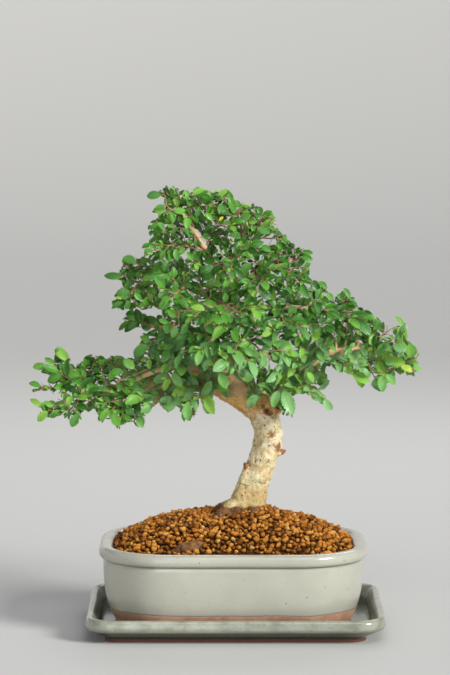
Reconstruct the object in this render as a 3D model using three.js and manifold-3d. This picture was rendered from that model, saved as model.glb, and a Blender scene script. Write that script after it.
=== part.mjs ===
// A Chinese elm bonsai in a glazed oval pot on a matching drip tray.
// Millimetres, +Z up, the viewer's side is -Y. The origin is the centre of the tray's flat underside.
// The tree leans right out of a mound of granular soil, bends sharply left at the top of its
// clean trunk, and carries its leaves on sprays that spread in low tiers from its limbs.

import * as THREE from "three";
import { mergeVertices } from "three/addons/utils/BufferGeometryUtils.js";
import Module from "manifold-3d";

const wasm = await Module();
wasm.setup();

// Clearance kept between pieces that touch on the real thing
const GAP = 0.3;

// Tray: half sizes at the widest point of its lip
const TRAY_HALF_X = 138.5;
const TRAY_HALF_Y = 101;
const TRAY_CORNER = 26;
const TRAY_CORNER_STEPS = 4;
const TRAY_HEIGHT = 23;
const TRAY_FLOOR = 7;
// [inset from the lip, height], from the underside round the lip to the floor
const TRAY_PROFILE = [
  [18, 0],
  [17.4, 3],
  [5, 10.4],
  [1.6, 11.6],
  [0, 15],
  [0.6, 20],
  [3, TRAY_HEIGHT],
  [6, TRAY_HEIGHT - 0.4],
  [8.6, 19],
  [12, 11],
  [17, TRAY_FLOOR + 0.6],
  [23, TRAY_FLOOR],
];

// Pot: half sizes at the widest point of its rolled rim
const POT_X = -2;
const POT_HALF_X = 125;
const POT_HALF_Y = 94;
const POT_CORNER = 67;
const POT_CORNER_STEPS = 6;
const POT_BASE = 10;
const POT_TOP = 82;
const POT_FLOOR = 17;
// [inset from the rim, height], from the base edge up to the rim
const POT_OUTSIDE = [
  [18, POT_BASE],
  [15.5, POT_BASE + 2],
  [10.5, 21],
  [6.4, 35],
  [4.2, 52],
  [3.6, 69.5],
  [1.2, 71.4],
  [0, 76],
  [1.6, 80.4],
  [5, POT_TOP],
];
// [inset from the rim, height], from the rim's inner roll down to the floor
const POT_ROLL = [10, POT_TOP - 0.6];
const POT_WALL = [
  [13.4, 79],
  [14.2, 66],
  [16, 36],
  [20, 22],
];
const POT_FLOOR_INSET = 27;
const FOOT_SIZE = [30, 20];
const FOOT_CORNER = 6;
const FOOT_CORNER_STEPS = 2;
const FOOT_CHAMFER = 1.5;
const FOOT_AT = [74, 52];
const DRAIN_X = 48;
const DRAIN_RADIUS = 8;
const DRAIN_SIDES = 12;
const SCREEN_SIDE = 24;
const SCREEN_THICKNESS = 0.8;
const SCREEN_SLOTS = 3;
const SLOT_LENGTH = 16.8;

// Soil: a mound of grains
const SOIL_EDGE = 79;
const MOUND_HEIGHT = 31;
const MOUND_HALF = [113, 83];
const MOUND_POWER = 2.6;
const MOUND_ROUNDING = 0.9;
const GRAIN_STEP = 9.4;
const GRAIN_STRAY = 0.9;
const GRAIN_RISE = 2.4;
const GRAIN_DIP = 1.4;
const NET_BOTTOM = 30;
const ABOVE_SOIL = 140;

// Wood: every limb as stations of [x, y, z, radius], from its root end to its tip
const LIMBS = {
  trunk: [
    [7, 2, 86, 13],
    [9, 1, 100, 18],
    [11, 0, 114, 17.4],
    [14, 0, 126, 15.2],
    [18, 0, 138, 13.8],
    [23.5, 0, 150, 12.9],
    [28, 0, 162, 12.8],
    [31, 0, 175, 13.2],
    [30, 0, 187, 12.8],
    [26.5, 0, 199, 13.2],
    [19, 0, 210, 13.6],
    [6, 0, 219.5, 13.2],
    [-8, 0, 227, 12.4],
    [-20, 1, 233, 11],
  ],
  leader: [
    [-14, 0, 230, 10],
    [-28, 4, 245, 8.6],
    [-33, 8, 264, 7.4],
    [-26, 8, 282, 6.4],
    [-15, 5, 298, 5.5],
    [-9, 2, 314, 4.7],
    [-11, 0, 331, 4],
    [-22, -3, 346, 3.3],
    [-32, -5, 362, 2.6],
    [-42, -5, 376, 1.9],
    [-50, -4, 384, 1.3],
  ],
  low_left: [
    [-14, 0, 229, 8.5],
    [-45, -4, 229, 6],
    [-80, -10, 227, 4.2],
    [-112, -14, 220, 3.1],
    [-134, -12, 221, 2.2],
    [-152, -14, 224, 1.4],
  ],
  right_low: [
    [24, 1, 202, 8],
    [44, -3, 222, 5.8],
    [60, -6, 236, 5],
    [70, -8, 249, 4.4],
    [90, -10, 259, 3.6],
    [116, -8, 262, 2.6],
    [138, -6, 257, 1.5],
  ],
  right_mid: [
    [-14, 4, 300, 4.4],
    [14, 0, 299, 3.5],
    [44, -4, 302, 2.8],
    [72, -6, 299, 2],
    [88, -5, 294, 1.4],
  ],
  right_top: [
    [-9, 1, 320, 3.6],
    [16, 2, 330, 2.7],
    [38, 0, 339, 2],
    [54, -2, 343, 1.4],
  ],
  apex_right: [
    [-13, -1, 336, 3.1],
    [3, -3, 353, 2.6],
    [6, -2, 367, 2.1],
    [13, -2, 377, 1.7],
    [22, -2, 382, 1.3],
  ],
  left_mid: [
    [-12, 3, 304, 4.4],
    [-42, 2, 320, 3.2],
    [-68, 0, 328, 2.3],
    [-86, -2, 331, 1.4],
  ],
  left_under: [
    [-32, 8, 262, 4.4],
    [-50, 5, 272, 3.2],
    [-68, 2, 280, 2.2],
    [-82, 0, 285, 1.4],
  ],
  front: [
    [-28, 7, 277, 3.6],
    [-14, -22, 284, 2.8],
    [0, -44, 279, 2],
    [6, -58, 270, 1.4],
  ],
  front_top: [
    [-14, 3, 300, 3],
    [-20, -22, 306, 2.2],
    [-23, -40, 302, 1.4],
  ],
  back: [
    [-28, 9, 280, 3.6],
    [-20, 36, 290, 2.6],
    [-13, 58, 291, 1.4],
  ],
  back_top: [
    [-9, 2, 318, 2.9],
    [4, 28, 324, 2.1],
    [11, 44, 325, 1.3],
  ],
};
// Height where the trunk starts to flare and how far below that it is fully fluted, and how deep
const TRUNK_FOOT = [135, 35];
const TRUNK_FLUTING = [0.05, 0.13];
const TRUNK_RIPPLE = 0.03;
const LIMB_SIDES = { trunk: 12, leader: 8, low_left: 7, right_low: 7 };
const OTHER_LIMB_SIDES = 5;

// Surface roots dip from the trunk's foot into the soil, and one surfaces again by the front rim
const ROOTS = [
  [[6, -4, 118, 9], [-8, -15, 111, 6.4], [-20, -25, 102, 4.6], [-30, -32, 94, 3]],
  [[14, -4, 116, 9], [20, -20, 107, 6], [24, -32, 98, 4]],
  [[14, 0, 116, 9], [32, -6, 107, 6], [44, -10, 98, 4]],
  [[10, 4, 116, 9], [16, 22, 106, 6], [20, 34, 96, 4]],
  [[8, 3, 116, 9], [-12, 14, 108, 6], [-26, 22, 98, 4]],
  [
    [-26, -64, 86, 4],
    [-36, -71, 88, 5.4],
    [-48, -72, 86, 5],
    [-60, -64, 77, 3.4],
    [-40, -40, 82, 4],
    [0, -7, 102, 5],
  ],
];
const ROOT_SIDES = 5;

// Snags and the pruning scar that stand out of the trunk, as their two ends with a radius at each
const SNAGS = [
  [[34, -3, 163, 4.2], [46, -5, 160, 1.4]],
  [[16, -3, 151, 2.8], [7, -6, 157, 1]],
  [[30, 0, 196, 7], [41, -4, 207, 3.8]],
];

// Sprays: each leafy stem leaves its limb at a share of the limb's length, and its end leaf reaches to
// the point given
const SPRAYS = [
  ["low_left_tip", "low_left", 0.99, [-188, -16, 228]],
  ["low_left_rise", "low_left", 0.84, [-167, 10, 260]],
  ["low_left_fork", "low_left", 0.74, [-182, -48, 210]],
  ["low_left_twig", "low_left", 0.62, [-132, 16, 251]],
  ["low_left_drop", "low_left", 0.44, [-122, -58, 208]],
  ["low_left_under", "low_left", 0.26, [-84, -60, 210]],
  ["low_left_back", "low_left", 0.36, [-108, 62, 236]],
  ["low_left_crown", "low_left", 0.68, [-176, 36, 244]],
  ["right_low_tip", "right_low", 0.99, [172, -4, 250]],
  ["right_low_spur", "right_low", 0.3, [86, -44, 216]],
  ["right_low_drop", "right_low", 0.16, [47, -54, 215]],
  ["right_far_under", "right_low", 0.62, [108, -56, 249]],
  ["right_far_drop", "right_low", 0.84, [134, -40, 229]],
  ["right_far_up", "right_low", 0.74, [103, 10, 315]],
  ["right_far_top", "right_low", 0.92, [155, 12, 290]],
  ["right_low_back", "right_low", 0.5, [104, 66, 262]],
  ["right_low_front", "right_low", 0.54, [68, -70, 268]],
  ["right_mid_tip", "right_mid", 0.98, [124, -6, 299]],
  ["right_mid_front", "right_mid", 0.36, [50, -72, 288]],
  ["right_mid_under", "right_mid", 0.56, [78, -46, 274]],
  ["right_mid_back", "right_mid", 0.42, [60, 68, 296]],
  ["right_mid_up", "right_mid", 0.74, [84, 14, 333]],
  ["right_top_tip", "right_top", 0.98, [71, -4, 354]],
  ["right_top_drop", "right_top", 0.7, [70, -40, 322]],
  ["right_top_front", "right_top", 0.3, [30, -62, 330]],
  ["right_top_back", "right_top", 0.4, [46, 58, 338]],
  ["apex_right_tip", "apex_right", 0.98, [37, -4, 393]],
  ["apex_right_mid", "apex_right", 0.55, [-5, -6, 413]],
  ["apex_right_low", "apex_right", 0.38, [57, -26, 368]],
  ["apex_tip", "leader", 0.98, [-78, -6, 408]],
  ["apex_up", "leader", 0.86, [-46, -2, 415]],
  ["apex_shoulder", "leader", 0.74, [-80, -28, 363]],
  ["apex_shelf", "leader", 0.88, [-78, 22, 380]],
  ["apex_front", "leader", 0.66, [10, -54, 354]],
  ["apex_back", "leader", 0.76, [-14, 50, 380]],
  ["left_mid_tip", "left_mid", 0.98, [-120, -6, 332]],
  ["left_mid_rise", "left_mid", 0.66, [-104, 18, 348]],
  ["left_mid_drop", "left_mid", 0.76, [-110, -36, 308]],
  ["left_mid_inner", "left_mid", 0.46, [-44, -30, 344]],
  ["left_mid_front", "left_mid", 0.34, [-64, -66, 313]],
  ["left_mid_back", "left_mid", 0.4, [-76, 66, 327]],
  ["left_under_tip", "left_under", 0.98, [-104, -2, 288]],
  ["left_under_drop", "left_under", 0.5, [-90, -42, 264]],
  ["left_under_inner", "left_under", 0.28, [-52, -56, 246]],
  ["left_under_back", "left_under", 0.4, [-84, 66, 280]],
  ["front_tip", "front", 0.96, [14, -94, 256]],
  ["front_left", "front", 0.45, [-38, -80, 265]],
  ["front_right", "front", 0.62, [42, -80, 254]],
  ["front_top_tip", "front_top", 0.96, [-45, -78, 297]],
  ["front_top_right", "front_top", 0.6, [14, -78, 297]],
  ["back_tip", "back", 0.96, [-4, 96, 286]],
  ["back_left", "back", 0.45, [-54, 84, 290]],
  ["back_top_tip", "back_top", 0.96, [22, 80, 318]],
  ["fork_front", "leader", 0.06, [-36, -58, 217]],
];
const CROWN_MIDDLE_Y = 6;
const FACE_STRAY = 0.4;
const FACE_OUTWARD = [0.5, 1];
const FACE_UPWARD = 0.65;
const STEM_RADII = [1.2, 0.8];
const STEM_SIDES = 3;
const STEM_SAG = 0.07;
const STEM_STRAY = 0.06;
const STEM_STATIONS = [0, 0.36, 0.7, 1];

// Leaves, set alternately along the stems
const LEAF_LENGTH = 17.5;
const LEAF_WIDTH = 11;
const LEAF_HALF_THICKNESS = 0.5;
const LEAF_FOLD = 0.1;
const LEAF_ARCH = 0.12;
const LEAF_ROOT = 0.3;
// [share of the length, share of the half width] of the outline's points: two teeth and their notches
const LEAF_EDGE = [
  [0.3, 1],
  [0.38, 0.84],
  [0.64, 0.86],
  [0.7, 0.6],
];
const LEAF_RIB = 0.45;
const LEAF_SPACING = 10;
const FEWEST_LEAVES = 3;
const LEAF_START = 0.22;
const LEAF_SPREAD = 0.95;
const LEAF_TILT = 0.25;
const END_LEAF_SPREAD = 0.2;
const END_LEAF_REACH = 0.85 * LEAF_LENGTH;
const LEAF_SCALE = [0.86, 1.12];
const LEAF_CLEARANCE = GAP + 0.1;
const LEAF_ROLLS = [0, 0.5, -0.5, 0.9, -0.9, 1.3, -1.3];

const colours = {
  tray: { color: 0x9aa198, roughness: 0.3 },
  pot: { color: 0xb9bcae, roughness: 0.3 },
  screen: { color: 0x20221f, roughness: 0.6 },
  soil: { color: 0xa9622a, roughness: 0.95 },
  bark: { color: 0xb49a72, roughness: 0.85 },
  leaf: { color: 0x4a8a3a, roughness: 0.5 },
};
const materials = {};
for (const [name, look] of Object.entries(colours)) {
  materials[name] = new THREE.MeshStandardMaterial({ ...look, metalness: 0 });
}

// The same number from 0 to 1 for the same seed
function chance(seed) {
  const wave = Math.sin(seed * 127.1 + 311.7) * 43758.5453;
  return wave - Math.floor(wave);
}

// The same number from -1 to 1 for the same seed
function swing(seed) {
  return 2 * chance(seed) - 1;
}

function solidOf(geometry) {
  const bare = new THREE.BufferGeometry();
  bare.setAttribute("position", geometry.getAttribute("position"));
  bare.setIndex(geometry.index);
  const merged = mergeVertices(bare, 1e-4);
  const mesh = new wasm.Mesh({
    numProp: 3,
    vertProperties: merged.attributes.position.array,
    triVerts: new Uint32Array(merged.index.array),
  });
  return new wasm.Manifold(mesh);
}

function meshOf(solid, name, material) {
  const made = solid.getMesh();
  const geometry = new THREE.BufferGeometry();
  geometry.setAttribute("position", new THREE.BufferAttribute(made.vertProperties, 3));
  geometry.setIndex(new THREE.BufferAttribute(made.triVerts, 1));
  geometry.computeVertexNormals();
  const mesh = new THREE.Mesh(geometry, material);
  mesh.name = name;
  return mesh;
}

// A closed skin through rings of as many points each, capped at both ends
function loft(rings) {
  const sides = rings[0].length;
  const index = [];
  for (let ring = 0; ring + 1 < rings.length; ring++) {
    for (let side = 0; side < sides; side++) {
      const a = ring * sides + side;
      const b = ring * sides + ((side + 1) % sides);
      index.push(a, b, b + sides, a, b + sides, a + sides);
    }
  }
  const last = (rings.length - 1) * sides;
  for (let side = 1; side + 1 < sides; side++) {
    index.push(0, side + 1, side);
    index.push(last, last + side, last + side + 1);
  }
  const geometry = new THREE.BufferGeometry().setFromPoints(rings.flat());
  geometry.setIndex(index);
  return solidOf(geometry);
}

// A level ring with four round corners, anticlockwise from above
function roundedRing(halfX, halfY, corner, z, steps) {
  const ring = [];
  [[1, 1], [-1, 1], [-1, -1], [1, -1]].forEach(([right, far], quarter) => {
    for (let step = 0; step <= steps; step++) {
      const angle = ((quarter + step / steps) * Math.PI) / 2;
      const x = right * (halfX - corner) + corner * Math.cos(angle);
      const y = far * (halfY - corner) + corner * Math.sin(angle);
      ring.push(new THREE.Vector3(x, y, z));
    }
  });
  return ring;
}

function pathOf(stations) {
  return new THREE.CatmullRomCurve3(stations.map(([x, y, z]) => new THREE.Vector3(x, y, z)));
}

// A smooth run of count stations through a few hand-set ones
function smoothed(stations, count) {
  const path = pathOf(stations);
  const last = stations.length - 1;
  return Array.from({ length: count }, (_, i) => {
    const along = (i / (count - 1)) * last;
    const before = Math.min(Math.floor(along), last - 1);
    const at = path.getPoint(along / last);
    const radius = THREE.MathUtils.lerp(stations[before][3], stations[before + 1][3], along - before);
    return [at.x, at.y, at.z, radius];
  });
}

// A tube through stations of [x, y, z, radius], grown by extra, with its radius rippled round it, and
// with a flat side towards the given way
function tube(stations, sides, { extra = 0, ripple = () => 1, flatTo = new THREE.Vector3(0, 1, 0) } = {}) {
  const along = stations.map(([x, y, z]) => new THREE.Vector3(x, y, z));
  const across = flatTo.clone();
  const rings = along.map((at, i) => {
    const ahead = along[Math.min(i + 1, along.length - 1)];
    const behind = along[Math.max(i - 1, 0)];
    const tangent = ahead.clone().sub(behind).normalize();
    across.addScaledVector(tangent, -across.dot(tangent)).normalize();
    const up = tangent.clone().cross(across);
    return Array.from({ length: sides }, (_, side) => {
      const angle = ((side + 0.5) / sides) * 2 * Math.PI;
      const radius = stations[i][3] * ripple(angle, at) + extra;
      const point = at.clone().addScaledVector(across, radius * Math.cos(angle));
      return point.addScaledVector(up, radius * Math.sin(angle));
    });
  });
  return loft(rings);
}

function makeTray() {
  return loft(
    TRAY_PROFILE.map(([inset, z]) => {
      const corner = TRAY_CORNER - 0.6 * inset;
      return roundedRing(TRAY_HALF_X - inset, TRAY_HALF_Y - inset, corner, z, TRAY_CORNER_STEPS);
    }),
  );
}

function potRing([inset, z]) {
  return roundedRing(POT_HALF_X - inset, POT_HALF_Y - inset, POT_CORNER - inset, z, POT_CORNER_STEPS);
}

function makeFoot(right, far) {
  const [halfX, halfY] = FOOT_SIZE.map((size) => size / 2);
  const ring = (inset, z) =>
    roundedRing(halfX - inset, halfY - inset, FOOT_CORNER - inset, z, FOOT_CORNER_STEPS);
  const foot = loft([ring(FOOT_CHAMFER, TRAY_FLOOR), ring(0, POT_BASE + 1)]);
  return foot.translate(right * FOOT_AT[0], far * FOOT_AT[1], 0);
}

function makeDrainHole(side) {
  const x = side * DRAIN_X;
  return tube([[x, 0, POT_BASE - 2, DRAIN_RADIUS], [x, 0, POT_FLOOR + 2, DRAIN_RADIUS]], DRAIN_SIDES);
}

function makePot() {
  const profile = [...POT_OUTSIDE, POT_ROLL, ...POT_WALL, [POT_FLOOR_INSET, POT_FLOOR]];
  let pot = loft(profile.map(potRing));
  for (const right of [-1, 1]) {
    for (const far of [-1, 1]) pot = pot.add(makeFoot(right, far));
    pot = pot.subtract(makeDrainHole(right));
  }
  return pot.translate(POT_X, 0, 0);
}

// The slotted plastic plate that keeps the soil in over a drain hole
function makeScreen(side) {
  const pitch = SCREEN_SIDE / (SCREEN_SLOTS + 1);
  const slot = solidOf(new THREE.BoxGeometry(pitch / 2, SLOT_LENGTH, SCREEN_THICKNESS * 3));
  let plate = solidOf(new THREE.BoxGeometry(SCREEN_SIDE, SCREEN_SIDE, SCREEN_THICKNESS));
  for (let i = 0; i < SCREEN_SLOTS; i++) {
    plate = plate.subtract(slot.translate((i - (SCREEN_SLOTS - 1) / 2) * pitch, 0, 0));
  }
  return plate.translate(POT_X + side * DRAIN_X, 0, POT_FLOOR + SCREEN_THICKNESS / 2);
}

function moundTop(x, y) {
  const across = Math.abs((x - POT_X) / MOUND_HALF[0]) ** MOUND_POWER;
  const deep = Math.abs(y / MOUND_HALF[1]) ** MOUND_POWER;
  return SOIL_EDGE + MOUND_HEIGHT * Math.max(0, 1 - across - deep) ** MOUND_ROUNDING;
}

// A block whose top is a net of triangles, with every third corner raised into a grain
function makeGrains() {
  const rowStep = (GRAIN_STEP * Math.sqrt(3)) / 2;
  const columns = 2 * Math.ceil(POT_HALF_X / GRAIN_STEP) + 1;
  const rows = 2 * Math.ceil(POT_HALF_Y / rowStep) + 1;
  const points = [];
  const index = [];
  for (let j = 0; j < rows; j++) {
    for (let i = 0; i < columns; i++) {
      const seed = j * columns + i;
      const isGrain = (i - Math.floor(j / 2) + 2 * j) % 3 === 0;
      const rise = isGrain ? GRAIN_RISE * (0.5 + chance(seed + 0.25)) : -GRAIN_DIP;
      const column = i - (columns - 1) / 2 + (j % 2) / 2;
      const x = POT_X + column * GRAIN_STEP + GRAIN_STRAY * swing(seed);
      const y = (j - (rows - 1) / 2) * rowStep + GRAIN_STRAY * swing(seed + 0.5);
      points.push(new THREE.Vector3(x, y, moundTop(x, y) + rise));
      if (i + 1 === columns || j + 1 === rows) continue;
      const [right, above, corner] = [seed + 1, seed + columns, seed + columns + 1];
      if (j % 2) index.push(seed, right, corner, seed, corner, above);
      else index.push(seed, right, above, right, corner, above);
    }
  }
  const edge = [];
  for (let i = 0; i < columns - 1; i++) edge.push(i);
  for (let j = 0; j < rows - 1; j++) edge.push(j * columns + columns - 1);
  for (let i = columns - 1; i > 0; i--) edge.push((rows - 1) * columns + i);
  for (let j = rows - 1; j > 0; j--) edge.push(j * columns);
  const under = points.length;
  edge.forEach((at) => points.push(points[at].clone().setZ(NET_BOTTOM)));
  edge.forEach((at, k) => {
    const next = (k + 1) % edge.length;
    index.push(at, under + next, edge[next], at, under + k, under + next);
    if (k && next) index.push(under, under + next, under + k);
  });
  const geometry = new THREE.BufferGeometry().setFromPoints(points);
  geometry.setIndex(index);
  return solidOf(geometry);
}

function makeSoil(roomyWood) {
  const wall = POT_WALL.map(([inset, z]) => [inset + GAP, z]).reverse();
  const floor = [POT_FLOOR_INSET, POT_FLOOR + SCREEN_THICKNESS + GAP];
  const mouth = [POT_WALL[0][0] + GAP, ABOVE_SOIL];
  const inside = loft([floor, ...wall, mouth].map(potRing)).translate(POT_X, 0, 0);
  const base = loft([floor, ...wall.slice(0, -1)].map(potRing)).translate(POT_X, 0, 0);
  return makeGrains().intersect(inside).add(base).subtract(roomyWood);
}

function trunkRipple(angle, at) {
  const [footTop, footDepth] = TRUNK_FOOT;
  const nearFoot = THREE.MathUtils.clamp((footTop - at.z) / footDepth, 0, 1);
  const fluting = THREE.MathUtils.lerp(...TRUNK_FLUTING, nearFoot);
  return 1 + fluting * Math.cos(3 * angle + 0.05 * at.z) + TRUNK_RIPPLE * Math.cos(5 * angle + 0.11 * at.z);
}

function makeWood(extra) {
  const limbs = Object.entries(LIMBS).map(([name, stations]) => {
    const count = stations.length + 2;
    const ripple = name === "trunk" ? trunkRipple : undefined;
    return tube(smoothed(stations, count), LIMB_SIDES[name] ?? OTHER_LIMB_SIDES, { extra, ripple });
  });
  const roots = ROOTS.map((stations) => tube(smoothed(stations, stations.length + 1), ROOT_SIDES, { extra }));
  const snags = SNAGS.map((ends) => tube(ends, ROOT_SIDES, { extra }));
  return wasm.Manifold.union([...limbs, ...roots, ...snags]);
}

// One leaf along +X with its root at the origin: a toothed outline round a raised midrib
function makeLeaf(grow) {
  const halfWidth = LEAF_WIDTH / 2 + grow;
  const place = (t, share, offset) => {
    const across = share * halfWidth;
    const lift = LEAF_FOLD * Math.abs(across) - LEAF_ARCH * t * t * LEAF_LENGTH;
    return new THREE.Vector3(t * (LEAF_LENGTH + grow) - LEAF_ROOT, across, lift + offset);
  };
  const thick = LEAF_HALF_THICKNESS + grow;
  const points = [
    place(0, 0, 0),
    ...LEAF_EDGE.map(([t, share]) => place(t, share, 0)),
    place(1, 0, 0),
    ...LEAF_EDGE.map(([t, share]) => place(t, -share, 0)).reverse(),
    place(LEAF_RIB, 0, thick),
    place(LEAF_RIB, 0, -thick),
  ];
  const outline = points.length - 2;
  const index = [];
  for (let k = 0; k < outline; k++) {
    const next = (k + 1) % outline;
    index.push(outline, next, k);
    index.push(outline + 1, k, next);
  }
  const geometry = new THREE.BufferGeometry().setFromPoints(points);
  geometry.setIndex(index);
  return solidOf(geometry);
}

const LEAF = makeLeaf(0);
const ROOMY_LEAF = makeLeaf(LEAF_CLEARANCE);

// What already stands in the crown, so that a new leaf is set clear of it
const standing = [];

function stand(solid, owner) {
  standing.push({ solid, owner, box: solid.boundingBox() });
}

function boxesMeet(a, b) {
  return [0, 1, 2].every((k) => a.min[k] <= b.max[k] && b.min[k] <= a.max[k]);
}

function isClear(solid, ownStem) {
  const box = solid.boundingBox();
  return standing
    .filter((other) => other.owner !== ownStem && boxesMeet(box, other.box))
    .every((other) => solid.intersect(other.solid).isEmpty());
}

// The way a spray's flat side faces: up and out of the crown, on the side of the tree it stands on
function sprayFace(at, seed) {
  const side = at.y < CROWN_MIDDLE_Y ? -1 : 1;
  const outward = side * THREE.MathUtils.lerp(...FACE_OUTWARD, chance(seed + 0.3));
  return new THREE.Vector3(FACE_STRAY * swing(seed), outward, FACE_UPWARD).normalize();
}

function stemOf([name, limb, share, reach], i) {
  const from = pathOf(LIMBS[limb]).getPoint(share);
  const tip = new THREE.Vector3(...reach);
  tip.addScaledVector(tip.clone().sub(from).normalize(), -END_LEAF_REACH);
  const middle = from.clone().lerp(tip, 0.5);
  const length = from.distanceTo(tip);
  middle.x += STEM_STRAY * length * swing(i);
  middle.y += STEM_STRAY * length * swing(i + 0.4);
  middle.z += STEM_SAG * length;
  const face = sprayFace(middle, i);
  const flatTo = face.clone().cross(tip.clone().sub(from)).normalize();
  const path = new THREE.CatmullRomCurve3([from, middle, tip]);
  const stations = STEM_STATIONS.map((t) => {
    const at = path.getPoint(t);
    return [at.x, at.y, at.z, THREE.MathUtils.lerp(...STEM_RADII, t)];
  });
  const solid = tube(stations, STEM_SIDES, { flatTo });
  return { name, solid, path: pathOf(stations), face, seed: 10 * i };
}

// Where a leaf sits: its length along the direction, its upper side turned to the face
function leafPlace(at, direction, face, roll, size) {
  const up = face.clone().addScaledVector(direction, -face.dot(direction)).normalize();
  up.applyAxisAngle(direction, roll);
  const across = up.clone().cross(direction);
  const place = new THREE.Matrix4().makeBasis(direction, across, up).setPosition(at);
  return place.multiply(new THREE.Matrix4().makeScale(size, size, 1)).toArray();
}

// Leaves alternate along a stem, with one at its tip, and each is turned until it is clear
function leavesOf({ name, path, face, seed }) {
  const count = Math.max(FEWEST_LEAVES, Math.round(path.getLength() / LEAF_SPACING));
  const leaves = [];
  for (let k = 0; k <= count; k++) {
    const share = Math.min(1, LEAF_START + ((1 - LEAF_START) * k) / count);
    const at = path.getPointAt(share);
    const tangent = path.getTangentAt(share);
    const sideways = face.clone().cross(tangent).normalize();
    const spread = k === count ? END_LEAF_SPREAD * swing(seed + k) : (k % 2 ? 1 : -1) * LEAF_SPREAD;
    const direction = tangent.multiplyScalar(Math.cos(spread)).addScaledVector(sideways, Math.sin(spread));
    direction.addScaledVector(face, LEAF_TILT * swing(seed + k + 0.1)).normalize();
    const size = THREE.MathUtils.lerp(...LEAF_SCALE, chance(seed + k + 0.2));
    for (const roll of LEAF_ROLLS) {
      const place = leafPlace(at, direction, face, roll, size);
      if (!isClear(ROOMY_LEAF.transform(place), name)) continue;
      const leaf = LEAF.transform(place);
      stand(leaf, `${name} leaf`);
      leaves.push(leaf);
      break;
    }
  }
  return leaves;
}

function largestOf(solid) {
  return solid.decompose().reduce((best, piece) => (piece.volume() > best.volume() ? piece : best));
}

const wood = makeWood(0);
const roomyWood = makeWood(GAP);
const stems = SPRAYS.map(stemOf);
stand(roomyWood, "wood");
stems.forEach((stem) => stand(stem.solid, stem.name));

const bonsai = new THREE.Group();
bonsai.add(
  meshOf(makeTray(), "tray", materials.tray),
  meshOf(makePot(), "pot", materials.pot),
  meshOf(makeScreen(-1), "drain_screen_left", materials.screen),
  meshOf(makeScreen(1), "drain_screen_right", materials.screen),
  meshOf(makeSoil(roomyWood), "soil", materials.soil),
  meshOf(wood, "wood", materials.bark),
);
stems.forEach((stem) => {
  const spray = wasm.Manifold.union([stem.solid, ...leavesOf(stem)]).subtract(roomyWood);
  bonsai.add(meshOf(largestOf(spray), stem.name, materials.leaf));
});

export default bonsai;
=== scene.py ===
"""The look of a Chinese elm bonsai in a glazed oval pot on a drip tray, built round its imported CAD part.

Sizes are in millimetres and become metres when a piece is made. The frame is the part's own: the origin is
the centre of the tray's flat underside, +X is right, +Y is away from the viewer and +Z is up.
"""

import itertools
import math

import bmesh
import bpy
import numpy as np
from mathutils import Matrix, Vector, kdtree, noise
from mathutils.bvhtree import BVHTree


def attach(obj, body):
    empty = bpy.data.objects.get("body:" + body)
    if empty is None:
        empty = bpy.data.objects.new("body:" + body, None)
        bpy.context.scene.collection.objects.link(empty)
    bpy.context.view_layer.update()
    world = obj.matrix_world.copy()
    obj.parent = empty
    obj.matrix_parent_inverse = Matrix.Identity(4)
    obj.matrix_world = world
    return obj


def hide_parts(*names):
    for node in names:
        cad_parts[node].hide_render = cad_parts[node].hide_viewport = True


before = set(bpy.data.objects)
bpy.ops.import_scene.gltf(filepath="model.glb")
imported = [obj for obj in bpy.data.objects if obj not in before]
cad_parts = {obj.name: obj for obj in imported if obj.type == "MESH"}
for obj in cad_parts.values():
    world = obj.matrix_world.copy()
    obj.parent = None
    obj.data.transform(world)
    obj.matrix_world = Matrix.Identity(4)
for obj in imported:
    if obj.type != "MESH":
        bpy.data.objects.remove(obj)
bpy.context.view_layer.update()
MM = 0.001

# The photograph's camera, and its frame in pixels
FRAME = [450, 675]
SENSOR = 36
CAMERA_AT = (-0.0096, -3.1807, 0.6236)
CAMERA_PITCH = 6.3
CAMERA_LENS = 182.9
TILT = math.radians(CAMERA_PITCH)
# Pixels that a thing as wide as its distance would span
FOCUS = CAMERA_LENS / SENSOR * FRAME[1]

# Tray: half sizes at the widest point of its lip
TRAY_HALF = [138.5, 101]
TRAY_CORNER = 26
TRAY_FLOOR = 7
# Inset from the lip and height, from the underside round the lip to the floor
TRAY_PROFILE = [
    [18, 0], [17.4, 3], [11, 6.9], [5, 10.4], [1.6, 11.6], [0, 15], [0.2, 18], [0.9, 21], [2.4, 22.7],
    [4, 23], [5.8, 22.6], [7.4, 20.8], [9.2, 17.4], [12, 11], [14.4, 8.7], [17, 7.6], [23, 7],
]

# Pot: half sizes at the widest point of its rolled rim
POT_X = -2
POT_HALF = [125, 94]
POT_CORNER = 67
POT_BASE = 10
POT_FLOOR = 17
# Inset from the rim and height, up the outside, over the rim and down the inside
POT_OUTSIDE = [
    [18, 10], [15.7, 11.6], [13, 16], [10.5, 21], [8.2, 28], [6.4, 35], [5.1, 43], [4.2, 52], [3.8, 61],
    [3.7, 68],
]
POT_RIM = [
    [4.4, 69.6], [4.3, 70.6], [2.2, 71.2], [0.8, 72.4], [0, 75], [0.1, 77.6], [0.9, 79.8], [2.6, 81.4],
    [5, 82], [7.8, 81.9], [10.4, 81.2], [12.4, 80], [13.4, 78.4],
]
POT_INSIDE = [[14, 72], [14.3, 62], [15, 48], [16, 36], [17.6, 28], [20, 22], [23, 18.4], [27, 17]]
# Inset of the inner face of the pot's wall under its rim
WALL = 14
FOOT_SIZE = [30, 20]
FOOT_CORNER = 6
# Inset and height, from the tray's floor up into the pot's base
FOOT_PROFILE = [(2.2, TRAY_FLOOR), (1.2, TRAY_FLOOR + 0.25), (0.5, TRAY_FLOOR + 1.2), (0, POT_BASE + 1)]
FOOT_AT = [74, 52]
DRAIN_X = 48
DRAIN_RADIUS = 8

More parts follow.
